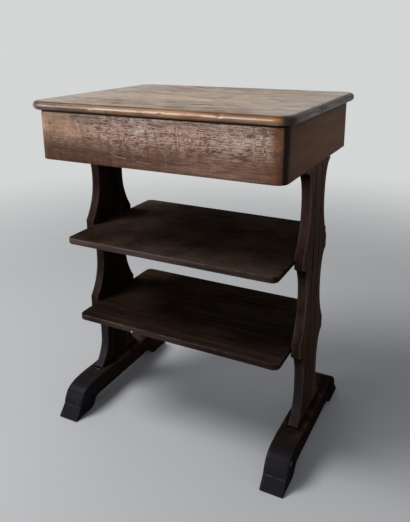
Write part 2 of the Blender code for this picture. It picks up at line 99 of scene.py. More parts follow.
class BookTableColours(bpy.types.PropertyGroup):
    """Colours of the table's finishes."""

    lid_dark: colour("Lid dark", "Dark streaks of the top", (0.072, 0.042, 0.026))
    lid_brown: colour("Lid brown", "Main brown of the top", (0.225, 0.145, 0.086))
    lid_pale: colour("Lid pale", "Bleached streaks of the top", (0.44, 0.315, 0.205))
    lid_red: colour("Lid red", "Red-brown flecks of the top", (0.190, 0.100, 0.058))
    lid_grey: colour("Lid grey", "Grey film worn into the top", (0.362, 0.325, 0.298))
    under_low: colour("Under low", "Dark grain of the lid's underside", (0.075, 0.040, 0.021))
    under_high: colour("Under high", "Pale grain of the lid's underside", (0.185, 0.112, 0.062))
    # Grime on the lid's rounded edge, also painted as shade on the edge's underside.
    nose_grime_and_shade: colour("Nose dark", "Grime on the lid's rounded edge", (0.020, 0.015, 0.012))
    nose_brown: colour("Nose brown", "Wood showing through that grime", (0.075, 0.052, 0.038))
    honey_low: colour("Honey low", "Dark end of the bared front edge", (0.070, 0.024, 0.006))
    honey_mid: colour("Honey mid", "Middle of the bared front edge", (0.240, 0.092, 0.014))
    honey_high: colour("Honey high", "Pale end of the bared front edge", (0.380, 0.190, 0.064))
    apron_dark: colour("Apron dark", "Dark streaks of the box boards", (0.046, 0.019, 0.011))
    apron_red: colour("Apron red", "Main red-brown of the box boards", (0.098, 0.041, 0.023))
    apron_pale: colour("Apron pale", "Pale streaks of the box boards", (0.164, 0.079, 0.047))
    apron_haze: colour("Apron haze", "Milky haze in the scuffed varnish", (0.43, 0.252, 0.190))
    # Painted light and sheen: a pale band along the box front's top, under the lid's overhang.
    apron_top_light: colour("Apron bloom", "Pale bloom along the front's top", (0.60, 0.415, 0.350))
    apron_honey: colour("Apron honey", "Bared patches of the box front", (0.49, 0.295, 0.175))
    apron_amber: colour("Apron amber", "Varnish at the front's right end", (0.290, 0.105, 0.024))
    # Painted shade: the box's rounded front ends, turned away from the lamps, painted near black.
    apron_end_shade: colour("Apron corner", "Dark grime at the box's rounded ends", (0.008, 0.0045, 0.0035))
    scratch: colour("Scratch", "Bare wood in the scratches", (0.84, 0.63, 0.52))
    scratch_warm: colour("Scratch warm", "Bare wood with old varnish in the scratches", (0.76, 0.51, 0.37))
    side_brown: colour("Side brown", "Main brown of the box sides", (0.188, 0.084, 0.030))
    # Also used as painted shade on the dark pieces.
    stain_low_and_shade: colour("Stain low", "Darkest streaks of the dark stain", (0.007, 0.004, 0.003))
    stain_mid: colour("Stain mid", "Main tone of the dark stain", (0.019, 0.011, 0.0075))
    stain_high: colour("Stain high", "Palest streaks of the dark stain", (0.042, 0.026, 0.018))
    # Rubbed edges of the dark pieces, also painted light on the shelves' front edges.
    stain_rim_and_sheen: colour("Stain rim", "Rubbed edges of the dark pieces", (0.075, 0.050, 0.044))
    # Warm brown where rubbed, also a painted sheen on the upper shelf's top.
    stain_warm_and_sheen: colour("Stain warm", "Warm brown where the dark pieces are rubbed", (0.064, 0.043, 0.033))
    stain_red: colour("Stain red", "Red-brown patches of the dark pieces", (0.034, 0.015, 0.009))
    leg_brown: colour("Leg brown", "Faded outer faces of the legs", (0.130, 0.082, 0.055))
    leg_edge: colour("Leg edge", "Red-brown of the legs' sawn edges", (0.086, 0.040, 0.030))
    leg_low: colour("Leg low", "Scuffed grey at the legs' lower edges", (0.026, 0.024, 0.031))
    # Grime and painted shade: in the legs' grooves, in the line under the lid, under the legs' coves and in
    # the feet's mortises.
    groove_grime_and_shade: colour("Groove", "Grime in grooves and narrow gaps", (0.003, 0.002, 0.002))
    # Rubbed arrises of the feet, partly a painted highlight along the toes' edges.
    toe_pale_and_highlight: colour("Toe pale", "Rubbed arrises of the feet", (0.17, 0.155, 0.145))
    # Grey-black scuffing of the toes; its bluish tint is a painted sheen.
    toe_grime_and_sheen: colour("Toe grime", "Scuffed grey-black of the toes", (0.0105, 0.0125, 0.0180))
    chip: colour("Chip", "Fresh wood in a chipped edge", (0.66, 0.56, 0.46))
    inner_low: colour("Inner low", "Dark grain of the bare inner wood", (0.150, 0.090, 0.047))
    inner_high: colour("Inner high", "Pale grain of the bare inner wood", (0.320, 0.218, 0.128))
    dowel_low: colour("Dowel low", "Dark grain of the dowels", (0.36, 0.24, 0.13))
    dowel_high: colour("Dowel high", "Pale grain of the dowels", (0.56, 0.42, 0.26))
    brass: colour("Brass", "Aged brass of the hinges", (0.37, 0.255, 0.105))
    brass_tarnish: colour("Brass tarnish", "Brown tarnish on the hinges", (0.13, 0.085, 0.04))
    steel: colour("Steel", "Dull steel of the screws", (0.40, 0.38, 0.35))
    steel_rust: colour("Steel rust", "Rust on the screws", (0.12, 0.055, 0.028))


class BookTableSizes(bpy.types.PropertyGroup):
    """Sizes of the refined pieces that the frame's boxes don't give."""

    spacing: length("Spacing", "Distance between a flat's mesh points", 0.011)
    edge_spacing: length("Edge spacing", "Distance between an outline's mesh points", 0.0032)
    leg_rows: length("Leg rows", "Distance between mesh rows over a leg's edge", 0.005)
    foot_rows: length("Foot rows", "Distance between mesh rows over a foot's edge", 0.006)
    shelf_rows: length("Shelf rows", "Distance between mesh rows over a shelf's edge", 0.004)
    clearance: length("Clearance", "Gap between fitted pieces", 0.0003)
    hollow: length("Hollow", "Depth of the shallow hollows in a flat", 0.00022)
    wear: length("Wear", "Depth to which edges are rubbed", 0.0004)
    foot_wear: length("Foot wear", "Depth to which the feet's edges are rubbed", 0.0008)
    lid_nose: length("Lid nose", "Radius of the lid's rounded edge", 0.0083)
    lid_corner: length("Lid corner", "Radius of the lid's corners in plan", 0.032)
    box_corner: length("Box corner", "Radius of the box's corners in plan", 0.020)
    box_arris: length("Box arris", "Radius of the box boards' edges", 0.0012)
    shelf_corner: length("Shelf corner", "Radius of the shelves' corners in plan", 0.015)
    shelf_arris: length("Shelf arris", "Radius of the shelves' edges", 0.0022)
    leg_arris: length("Leg arris", "Radius of the legs' edges", 0.0013)
    leg_waist: length("Leg waist", "Width of a leg at its narrowest", 0.092)
    leg_drop: length("Leg drop", "Height of a leg's block below what it carries", 0.007)
    leg_rise: length("Leg rise", "Height of a leg's block above a shelf", 0.009)
    leg_heel: length("Leg heel", "Height of a leg's block above the foot", 0.003)
    cove_share: share("Cove share", "Part of a bay's height taken by its cove", 0.40)
    flare_share: share("Flare share", "Part of a bay's height taken by its flare", 0.54)
    heel_share: share("Heel share", "Part of the lowest bay's height taken by its flare", 0.42)
    groove_spacing: length("Groove spacing", "Distance between a leg's two grooves", 0.040)
    groove_radius: length("Groove radius", "Radius of a leg's grooves", 0.0038)
    groove_depth: length("Groove depth", "Depth of a leg's grooves", 0.0026)
    foot_arris: length("Foot arris", "Radius of the feet's edges", 0.0019)
    foot_flat: length("Foot flat", "Length of the flat top of a foot", 0.190)
    foot_roll: length("Foot roll", "Handle length of a foot's rolled shoulder", 0.055)
    toe_setback: length("Toe setback", "How far a toe's edge lies behind its tip", 0.022)
    toe_height: length("Toe height", "Height of a toe's edge", 0.025)
    toe_in: length("Toe in", "Inward handle at a toe's edge", 0.009)
    toe_up: length("Toe up", "Upward handle at a toe's edge", 0.037)
    tip_round: length("Tip round", "Length over which a toe's tip is rounded", 0.0048)
    pad_length: length("Pad length", "Length of a foot's pad on the floor", 0.060)
    relief_run: length("Relief run", "Length of the slope into a foot's relief", 0.031)
    relief_height: length("Relief height", "Height of a foot's relief", 0.022)
    mortise_slack: length("Mortise slack", "Gap in the foot before and behind the leg", 0.005)
    leaf_thickness: length("Leaf thickness", "Thickness of a hinge leaf", 0.0016)


class BookTableStage(bpy.types.PropertyGroup):
    """Camera, floor and light."""

    camera_place: FloatVectorProperty(
        name="Camera place", description="Where the camera stands", size=3, subtype="TRANSLATION",
        unit="LENGTH", default=(0.5586, -1.0710, 0.8659)
    )
    camera_turn: FloatVectorProperty(
        name="Camera turn", description="The camera's tilt, roll and heading", size=3, subtype="EULER",
        unit="ROTATION", default=(math.radians(74.459), math.radians(0.3256), math.radians(27.0715))
    )
    lens: FloatProperty(name="Lens", description="Focal length in millimetres", default=39.413, min=1.0)
    shift: FloatProperty(name="Shift", description="Vertical shift of the frame", default=-0.13083)
    floor_size: length("Floor size", "Width and depth of the floor", 18.0)
    floor_colour: colour("Floor", "Colour of the floor", (0.45, 0.46, 0.475))
    backdrop: colour("Backdrop", "Colour behind the table", (0.66, 0.67, 0.67))
    ambient: colour("Ambient", "Soft light from all round", (0.26, 0.265, 0.28))
    window_power: power("Window power", "Power of the main soft light", 74.0)
    window_tint: colour("Window tint", "Colour of the main soft light", (1.0, 0.985, 0.96))
    fill_power: power("Fill power", "Power of the soft light in front", 38.0)
    fill_tint: colour("Fill tint", "Colour of the soft light in front", (0.95, 0.97, 1.0))


def sizes():
    return bpy.context.scene.book_table_sizes


def colours():
    return bpy.context.scene.book_table_colours


# Outlines


def arc(centre, radii, start, end, steps):
    """Points along an ellipse's arc between two angles in degrees."""
    angles = [math.radians(start + (end - start) * i / steps) for i in range(steps + 1)]
    return [
        Vector((centre[0] + radii[0] * math.cos(a), centre[1] + radii[1] * math.sin(a))) for a in angles
    ]


def bezier(start, start_handle, end_handle, end, steps):
    corners = [Vector((*corner, 0.0)) for corner in (start, start_handle, end_handle, end)]
    return [point.to_2d() for point in geometry.interpolate_bezier(*corners, steps + 1)]


def rounded_rectangle(low, high, front_radius, back_radius, steps=10):
    """A plan outline with rounded front and back corners; a radius of 0 is a square corner."""
    outline = []
    corners = (
        (low[0], low[1], 1, 1, front_radius, 180),
        (high[0], low[1], -1, 1, front_radius, 270),
        (high[0], high[1], -1, -1, back_radius, 0),
        (low[0], high[1], 1, -1, back_radius, 90),
    )
    for x, y, inward_x, inward_y, radius, start in corners:
        centre = (x + inward_x * radius, y + inward_y * radius)
        outline += arc(centre, (radius, radius), start, start + 90, steps) if radius else [Vector(centre)]
    return outline


def mirrored(half):
    """Closes a half outline, given at positive u from the top down, counter-clockwise."""
    return [Vector((-u, v)) for u, v in half] + [Vector(point) for point in reversed(half)]


def walked(outline):
    """Walks a closed outline at an even spacing and keeps its corners."""
    points = []
    for start, end in zip(outline, outline[1:] + outline[:1]):
        span = (end - start).length
        if span > 1e-6:
            count = max(1, round(span / sizes().edge_spacing))
            points += [start.lerp(end, i / count) for i in range(count)]
    return points


def drawn_in(outline, distance):
    """The outline moved inwards, square to its own edges."""
    result = []
    for i, point in enumerate(outline):
        before = (point - outline[i - 1]).normalized()
        after = (outline[(i + 1) % len(outline)] - point).normalized()
        inward = Vector((-before.y - after.y, before.x + after.x)).normalized()
        miter = max(0.5, inward.dot(Vector((-after.y, after.x))))
        result.append(point + inward * (distance / miter))
    return result


def filled(ring, spacing):
    """Points on a staggered grid inside a ring, and the triangles over the ring and those points."""
    edge = np.array(ring)
    low, high = edge.min(0), edge.max(0)
    points = []
    for k, v in enumerate(np.arange(low[1], high[1], spacing * STAGGER)):
        points += [(u, v) for u in np.arange(low[0] + (k % 2) * spacing / 2, high[0], spacing)]
    points = np.array(points)
    start, end = edge, np.roll(edge, -1, axis=0)
    rise = np.where(np.abs(end[:, 1] - start[:, 1]) < 1e-12, 1e-12, end[:, 1] - start[:, 1])
    straddles = (start[:, 1] > points[:, 1:]) != (end[:, 1] > points[:, 1:])
    crossing = (end[:, 0] - start[:, 0]) * (points[:, 1:] - start[:, 1]) / rise + start[:, 0]
    inside = (straddles & (points[:, :1] < crossing)).sum(1) % 2 == 1
    away = np.array([np.hypot(*(edge - point).T).min() > 0.6 * spacing for point in points])
    inner = [Vector(point) for point in points[inside & away]]
    found = geometry.delaunay_2d_cdt(list(ring) + inner, [], [list(range(len(ring)))], 1, 1e-7)
    origin = [sources[0] for sources in found[3]]
    return inner, [[origin[k] for k in face] for face in found[2]]


# Boards


def quarter_round(radius, steps, wear):
    """Inset, height and wear over a quarter-round edge, from the flat to the side."""
    angles = [math.radians(90 * i / steps) for i in range(steps + 1)]
    return [(radius * (1 - math.sin(a)), radius * (1 - math.cos(a)), wear(a)) for a in angles]


def edge_rows(low, high, rounding, side=()):
    """Rows of inset, height and wear over a board's edge: a rounding, the side, a rounding."""
    rows = [(inset, low + height, wear) for inset, height, wear in rounding]
    rows += [(0.0, height, 0.0) for height in side]
    return rows + [(inset, high - height, wear) for inset, height, wear in reversed(rounding)]


def board_rows(low, high, radius, between):
    """Rows over a square edge with rubbed arrises."""
    span = high - low - 2 * radius
    count = max(1, round(span / between))
    side = [low + radius + span * i / count for i in range(1, count)]
    arris = quarter_round(radius, 4, lambda angle: 0.25 + 0.75 * math.sin(2 * angle))
    return edge_rows(low, high, arris, side)


def nose_rows(low, high, radius):
    """Rows over a half-round edge."""
    return edge_rows(low, high, quarter_round(radius, 9, lambda angle: math.sin(angle) ** 2))


def worn_dip(point, wear, depth, hollow, nicks):
    """How far a point lies below the new surface: rubbed edges, shallow hollows and nicks."""
    rubbed = 0.5 + 0.5 * noise.noise(point * 32.0) + 0.2 * noise.noise(point * 70.0)
    dip = wear * depth * max(0.0, rubbed) ** 2
    dip += hollow * (0.5 + 0.5 * noise.noise(point * 14.0))
    for centre, radius, bite in nicks:
        reach = (point - Vector(centre)).length / radius
        if reach < 1.0:
            dip += bite * (1.0 - reach * reach) ** 2
    return dip


def new_object(name, data):
    obj = bpy.data.objects.new(name, data)
    bpy.context.scene.collection.objects.link(obj)
    return obj


def solid(name, shape):
    """A new object from an edit mesh, with its faces turned outwards."""
    bmesh.ops.recalc_face_normals(shape, faces=shape.faces)
    mesh = bpy.data.meshes.new(name)
    shape.to_mesh(mesh)
    shape.free()
    return new_object(name, mesh)


def board(name, outline, rows, axes, nicks=(), depth=None):
    """A worn board: an outline run over rows of its edge, closed by two flats, dipped where it is worn."""
    s = sizes()
    count = len(outline)
    points, wear, faces = [], [], []

    def add(u, v, w, rubbed):
        point = Vector((0.0, 0.0, 0.0))
        for axis, value in zip(axes, (u, v, w)):
            point[axis] = value
        points.append(point)
        wear.append(rubbed)

    for inset, height, rubbed in rows:
        for u, v in drawn_in(outline, inset):
            add(u, v, height, rubbed)
    for row in range(len(rows) - 1):
        lower, upper = row * count, (row + 1) * count
        for i in range(count):
            j = (i + 1) % count
            faces.append([lower + i, lower + j, upper + j, upper + i])
    for row, order in ((0, -1), (len(rows) - 1, 1)):
        inset, height = rows[row][:2]
        inner, triangles = filled(drawn_in(outline, inset), s.spacing)
        first = len(points) - count
        for u, v in inner:
            add(u, v, height, 0.0)
        for face in triangles:
            faces.append([row * count + k if k < count else first + k for k in face][::order])
    mesh = bpy.data.meshes.new(name)
    mesh.from_pydata(points, [], faces)
    mesh.update()
    normals = [vertex.normal.copy() for vertex in mesh.vertices]
    for vertex, normal, rubbed in zip(mesh.vertices, normals, wear):
        vertex.co -= normal * worn_dip(vertex.co, rubbed, depth or s.wear, s.hollow, nicks)
    return new_object(name, mesh)


def plan_board(name, low, high, front_radius, back_radius, rows, nicks=()):
    """A worn board with rounded corners in plan, and its outline."""
    outline = walked(rounded_rectangle(low, high, front_radius, back_radius))
    return board(name, outline, rows, PLAN, nicks), outline


class Tool:
    """A joined cutting tool for one piece."""

    def __init__(self):
        self.shape = bmesh.new()

    def box(self, low, high):
        low, high = Vector(low), Vector(high)
        where = Matrix.LocRotScale((low + high) / 2, None, high - low)
        bmesh.ops.create_cube(self.shape, size=1.0, matrix=where)
        return self

    def rod(self, low, high, radius, axis, sides=20):
        """A round bar along an axis, through the middle of a box between two corners."""
        low, high = Vector(low), Vector(high)
        turn = Vector((0, 0, 1)).rotation_difference(Vector([float(k == axis) for k in range(3)]))
        where = Matrix.LocRotScale((low + high) / 2, turn, None)
        bmesh.ops.create_cone(
            self.shape, cap_ends=True, segments=sides, radius1=radius, radius2=radius,
            depth=high[axis] - low[axis], matrix=where
        )
        return self

    def holes(self, *nodes):
        """Round holes for dowels and screws, a little larger than they are."""
        room = Vector((1, 1, 1)) * (2 * sizes().clearance)
        for node in nodes:
            low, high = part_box(node)
            size = high - low
            axis = max(PLAN, key=lambda k: size[k])
            self.rod(low - room, high + room, min(size) / 2 + sizes().clearance, axis)
        return self

    def cut(self, obj):
        """Cuts the tool out of a piece and keeps the result as the piece's mesh."""
        tool = solid("tool", self.shape)
        step = obj.modifiers.new("cut", "BOOLEAN")
        step.operation = "DIFFERENCE"
        step.solver = "EXACT"
        step.object = tool
        bpy.context.view_layer.update()
        depsgraph = bpy.context.evaluated_depsgraph_get()
        carved = bpy.data.meshes.new_from_object(obj.evaluated_get(depsgraph))
        carved.name = obj.data.name
        obj.modifiers.clear()
        obj.data = carved
        bpy.data.objects.remove(tool)


def measure_edges(obj, outline, axes, faces=None):
    """Stores each point's distance from the board's nearest edge, or from its outline alone, for wear."""
    tree = kdtree.KDTree(len(outline))
    for i, (u, v) in enumerate(outline):
        tree.insert((u, v, 0.0), i)
    tree.balance()
    values = []
    for vertex in obj.data.vertices:
        u, v, w = (vertex.co[axis] for axis in axes)
        inset = max(0.0, min(w - faces[0], faces[1] - w)) if faces else 0.0
        values.append(math.hypot(tree.find((u, v, 0.0))[2], inset))
    attribute = obj.data.attributes.new(EDGE, "FLOAT", "POINT")
    attribute.data.foreach_set("value", values)


def settle(obj, body, node, finish):
    """Shades a piece, paints it and puts it in its node's place on its body."""
    obj.data.shade_smooth()
    obj.data.set_sharp_from_angle(angle=SHARP_ANGLE)
    obj.data.materials.clear()
    obj.data.materials.append(finish)
    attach(obj, body)
    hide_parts(node)


def paint(nodes, finish):
    """Paints frame nodes that keep their own shape."""
    for node in nodes:
        materials = frame["nodes"][node].data.materials
        materials.clear()
        materials.append(finish)


def named(*parts):
    """The frame's nodes whose names hold every one of these words."""
    return sorted(node for node in frame["nodes"] if all(part in node for part in parts))


# Finishes


class Signal:
    """A shader socket that takes arithmetic, so that shader maths reads as Python."""

    def __init__(self, shading, socket):
        self.shading = shading
        self.socket = socket

    def maths(self, operation, *values):
        return self.shading.node("ShaderNodeMath", {"operation": operation}, dict(enumerate(values)))

    def __add__(self, other):
        return self.maths("ADD", self, other)

    def __radd__(self, other):
        return self.maths("ADD", other, self)

    def __sub__(self, other):
        return self.maths("SUBTRACT", self, other)

    def __rsub__(self, other):
        return self.maths("SUBTRACT", other, self)

    def __mul__(self, other):
        return self.maths("MULTIPLY", self, other)

    def __rmul__(self, other):
        return self.maths("MULTIPLY", other, self)

    def __abs__(self):
        return self.maths("ABSOLUTE", self)

    def most(self, other):
        return self.maths("MAXIMUM", self, other)

    def rise(self, low, high):
        """0 at low and 1 at high, smooth between; it falls where low is the larger."""
        sockets = {"Value": self, "From Min": low, "From Max": high}
        return self.shading.node("ShaderNodeMapRange", {"interpolation_type": "SMOOTHSTEP"}, sockets)

    def other(self, output):
        """Another output of the same node."""
        return Signal(self.shading, self.socket.node.outputs[output])


def rgba(value):
    return value if isinstance(value, Signal) else (*value, 1.0)


class Shading:
    """The node tree of a material or of the world."""

    def __init__(self, owner):
        owner.use_nodes = True
        self.tree = owner.node_tree
        self.tree.nodes.clear()

    def node(self, kind, settings=None, sockets=None, output=0):
        """A node of any kind: its settings first, then its sockets' values and links."""
        made = self.tree.nodes.new(kind)
        for key, value in (settings or {}).items():
            if key == "stops":
                self.set_stops(made.color_ramp.elements, value)
            else:
                setattr(made, key, value)
        for key, value in (sockets or {}).items():
            if isinstance(value, Signal):
                self.tree.links.new(value.socket, made.inputs[key])
            else:
                made.inputs[key].default_value = value
        return Signal(self, made.outputs[output]) if made.outputs else None

    @staticmethod
    def set_stops(elements, stops):
        while len(elements) < len(stops):
            elements.new(0.5)
        for element, (position, stop) in zip(elements, stops):
            element.position = position
            element.color = rgba(stop)


class Finish(Shading):
    """One material, built from shader nodes in the table's own space."""

    def __init__(self, name):
        self.material = bpy.data.materials.new(name)
        super().__init__(self.material)
        self.place = self.node("ShaderNodeTexCoord", output="Object")
        self.x = self.node("ShaderNodeSeparateXYZ", None, {0: self.place})
        self.y = self.x.other("Y")
        self.z = self.x.other("Z")

    def vector(self, operation, *values, output="Vector"):
        settings = {"operation": operation}
        return self.node("ShaderNodeVectorMath", settings, dict(enumerate(values)), output)

    def ramp(self, value, *stops):
        return self.node("ShaderNodeValToRGB", {"stops": stops}, {"Fac": value})

    def mix(self, amount, first, second):
        sockets = {0: amount, 6: rgba(first), 7: rgba(second)}
        return self.node("ShaderNodeMix", {"data_type": "RGBA"}, sockets, 2)

    def layers(self, base, *covers):
        """A colour under others, each given with its strength."""
        for amount, cover in covers:
            base = self.mix(amount, base, cover)
        return base

    def noise(self, space, scale, detail=2.0, rough=0.5, bend=0.0):
        sockets = {"Vector": space, "Scale": scale, "Detail": detail, "Roughness": rough, "Distortion": bend}
        return self.node("ShaderNodeTexNoise", None, sockets)

    def streaks(self, axis, along, across, seed, *settings):
        """Noise stretched along the grain: counts per metre along it and across it."""
        scale = [across] * 3
        scale[axis] = along
        sockets = {"Vector": self.place, "Location": (seed, 2.3 * seed, 3.7 * seed), "Scale": scale}
        return self.noise(self.node("ShaderNodeMapping", None, sockets), 1.0, *settings)

    def cells(self, space, scale, settings=None):
        """Scattered cells: the distance from a cell's middle, and two random numbers of the cell."""
        gap = self.node("ShaderNodeTexVoronoi", settings, {"Vector": space, "Scale": scale})
        first = self.node("ShaderNodeSeparateColor", None, {0: gap.other("Color")})
        return gap, first, first.other("Green")

    def near(self, point, radius):
        """1 at a point, 0 beyond a radius."""
        return self.vector("DISTANCE", self.place, point, output="Value").rise(radius, 0.4 * radius)

    def facing(self, axis):
        """How squarely the surface faces along an axis, from -1 to 1."""
        normal = self.node("ShaderNodeNewGeometry", output="Normal")
        return self.node("ShaderNodeSeparateXYZ", None, {0: normal}, axis)

    def edge(self):
        return self.node("ShaderNodeAttribute", {"attribute_name": EDGE}, None, "Fac")

    def close(self, base, roughness, height, depth, coat=0.0, **constants):
        """Joins the finish to its shader; height, from 0 to 1, is raised by a depth in metres."""
        bump = self.node("ShaderNodeBump", None, {"Height": height, "Distance": depth})
        sockets = {"Base Color": base, "Roughness": roughness, "Normal": bump, "Coat Weight": coat}
        sockets.update({key.replace("_", " "): value for key, value in constants.items()})
        shader = self.node("ShaderNodeBsdfPrincipled", None, sockets)
        self.node("ShaderNodeOutputMaterial", None, {"Surface": shader})
        return self.material


def grain(f, axis, seed, short=1.0):
    """Wood along an axis: its tone from 0 to 1, its fibres and its open pores; short shortens the streaks."""
    bands = f.streaks(axis, 1.7 * short, 26.0, seed, 3.0, 0.5, 0.5)
    figure = f.streaks(axis, 9.0 * short, 85.0, seed + 3.1, 3.0, 0.55)
    streaks = f.streaks(axis, 14.0 * short, 330.0, seed + 5.3, 4.0, 0.62)
    fibres = f.streaks(axis, 40.0, 1500.0, seed + 7.7)
    pores = f.streaks(axis, 60.0, 2000.0, seed + 11.3, 1.0).rise(0.60, 0.74)
    tone = 0.28 * bands + 0.34 * figure + 0.28 * streaks + 0.10 * fibres
    return tone, fibres, pores


def flat_space(f, across, up, wander):
    """A face's own flat space, bent a little so that drawn marks wander."""
    flat = f.node("ShaderNodeCombineXYZ", None, {"X": across, "Y": up})
    drift = f.vector("SUBTRACT", f.noise(flat, 34.0, 1.0).other("Color"), (0.5, 0.5, 0.5))
    return f.vector("MULTIPLY_ADD", drift, (wander, wander, 0.0), flat)


def drawn_marks(f, flat, marks):
    """Single marks from point to point in a flat space, each with its width: their strength from 0 to 1."""
    lines = []
    for start, end, width in marks:
        run = Vector((*end, 0.0)) - Vector((*start, 0.0))
        away = f.vector("SUBTRACT", flat, (*start, 0.0))
        reach = f.vector("DOT_PRODUCT", away, run / run.length_squared, output="Value")
        reach = f.node("ShaderNodeClamp", None, {"Value": reach})
        foot = f.node("ShaderNodeVectorMath", {"operation": "SCALE"}, {0: run, "Scale": reach})
        gap = f.vector("DISTANCE", away, foot, output="Value")
        lines.append(gap.rise(width, 0.3 * width))
    return reduce(Signal.most, lines)


# Direction in degrees, length and width of a layer's scratches, and the share of its cells without one.
SCRATCH_LAYERS = (
    (2, 0.021, 0.0016, 0.63), (-6, 0.028, 0.0015, 0.67), (9, 0.015, 0.0015, 0.71),
    (87, 0.016, 0.0016, 0.84), (95, 0.022, 0.0016, 0.86), (38, 0.018, 0.0018, 0.86),
    (-41, 0.019, 0.0018, 0.86), (62, 0.024, 0.0017, 0.88), (-22, 0.038, 0.0020, 0.88),
    (18, 0.034, 0.0020, 0.88),
)
# Counts per metre, across and up, of the noises whose level lines are drawn.
SCRIBBLE_SCALES = ((44.0, 82.0, 1.0), (70.0, 58.0, 1.0), (96.0, 120.0, 1.0))
# The longest scratches of the box front, across and up, with their widths.
FRONT_SCRATCHES = (
    ((-0.1679, 0.7067), (-0.1577, 0.6860), 0.0011), ((-0.1273, 0.6959), (-0.1023, 0.6804), 0.0010),
    ((0.0597, 0.7102), (0.0605, 0.6704), 0.0010), ((0.1034, 0.7014), (0.1033, 0.6850), 0.0010),
    ((0.0865, 0.6934), (0.1296, 0.6978), 0.0009), ((0.0943, 0.6760), (0.1489, 0.6778), 0.0010),
    ((0.2248, 0.6879), (0.2305, 0.6792), 0.0009), ((0.2305, 0.6792), (0.2322, 0.6666), 0.0009),
    ((-0.0876, 0.6508), (-0.0741, 0.6434), 0.0010), ((-0.0741, 0.6434), (-0.0513, 0.6407), 0.0010),
    ((-0.0089, 0.7041), (0.0025, 0.6921), 0.0013), ((-0.0335, 0.6894), (-0.0113, 0.6966), 0.0013),
    ((0.1562, 0.7036), (0.1712, 0.6928), 0.0010), ((0.2040, 0.7021), (0.2064, 0.6770), 0.0009),
    ((-0.0290, 0.6371), (0.0019, 0.6363), 0.0009), ((0.0335, 0.6561), (0.0361, 0.6323), 0.0009),
    ((0.1180, 0.6585), (0.1755, 0.6570), 0.0009),
)
# Long cracks of the top in plan with their widths, and knots with their radii.
LID_CRACKS = (
    ((-0.0636, -0.084), (0.0262, -0.081), 0.0022), ((-0.0141, -0.109), (0.0686, -0.098), 0.0020),
    ((-0.2069, 0.046), (-0.1211, 0.043), 0.0018), ((0.1009, 0.128), (0.1776, 0.131), 0.0018),
)
LID_KNOTS = (
    ((-0.1927, 0.000, 0.740), 0.010), ((0.1998, 0.107, 0.740), 0.007), ((0.0605, -0.050, 0.740), 0.005),
)


def scratches(f, flat, seed):
    """Short scratches in many directions over a flat space: how strong the pale and the dark ones are."""
    pale, dark = [], []
    for i, (angle, span, width, sparse) in enumerate(SCRATCH_LAYERS):
        sockets = {
            "Vector": flat,
            "Location": (seed + 0.37 * i, 0.11 * i, 0.0),
            "Rotation": (0.0, 0.0, math.radians(angle)),
            "Scale": (span, width, 1.0),
        }
        turned = f.node("ShaderNodeMapping", {"vector_type": "TEXTURE"}, sockets)
        gap, first, second = f.cells(turned, 1.0, {"voronoi_dimensions": "2D"})
        line = gap.rise(0.44, 0.14)
        pale.append(line * first.rise(sparse, sparse + 0.16))
        dark.append(line * second.rise(sparse, sparse + 0.16))
    return reduce(Signal.most, pale), reduce(Signal.most, dark)


def scribbles(f, flat, seed):
    """Thin curling scratches: the level lines of a noise, broken up by another."""
    lines = []
    for i, scale in enumerate(SCRIBBLE_SCALES):
        sockets = {"Vector": flat, "Location": (seed + 4.1 * i, 1.7 * i, 0.0), "Scale": scale}
        space = f.node("ShaderNodeMapping", None, sockets)
        line = abs(f.noise(space, 1.0, 1.0, 0.5, 0.6) - 0.5).rise(0.024, 0.007)
        lines.append(line * f.noise(space, 0.55, 1.0).rise(0.50, 0.58))
    return reduce(Signal.most, lines)


def honey_edge(f, seed, down):
    """Bared wood of the lid's front edge: its colour and its pits."""
    c = colours()
    bared = f.streaks(X_AXIS, 9.0, 120.0, seed + 9.0, 4.0, 0.6)
    pits, chosen, _ = f.cells(f.place, 62.0)
    pitted = pits.rise(0.34, 0.12) * chosen.rise(0.66, 0.76)
    honey = f.layers(
        f.ramp(bared, (0.34, c.honey_low), (0.5, c.honey_mid), (0.66, c.honey_high)),
        (pitted * 0.85, c.honey_low),
        (pitted * pits.rise(0.18, 0.06), c.nose_grime_and_shade),
        (f.x.rise(0.02, -0.20) * 0.68, c.honey_low),
        (down.rise(0.0048, 0.0032) * 0.55, c.honey_low),
    )
    return honey, pitted


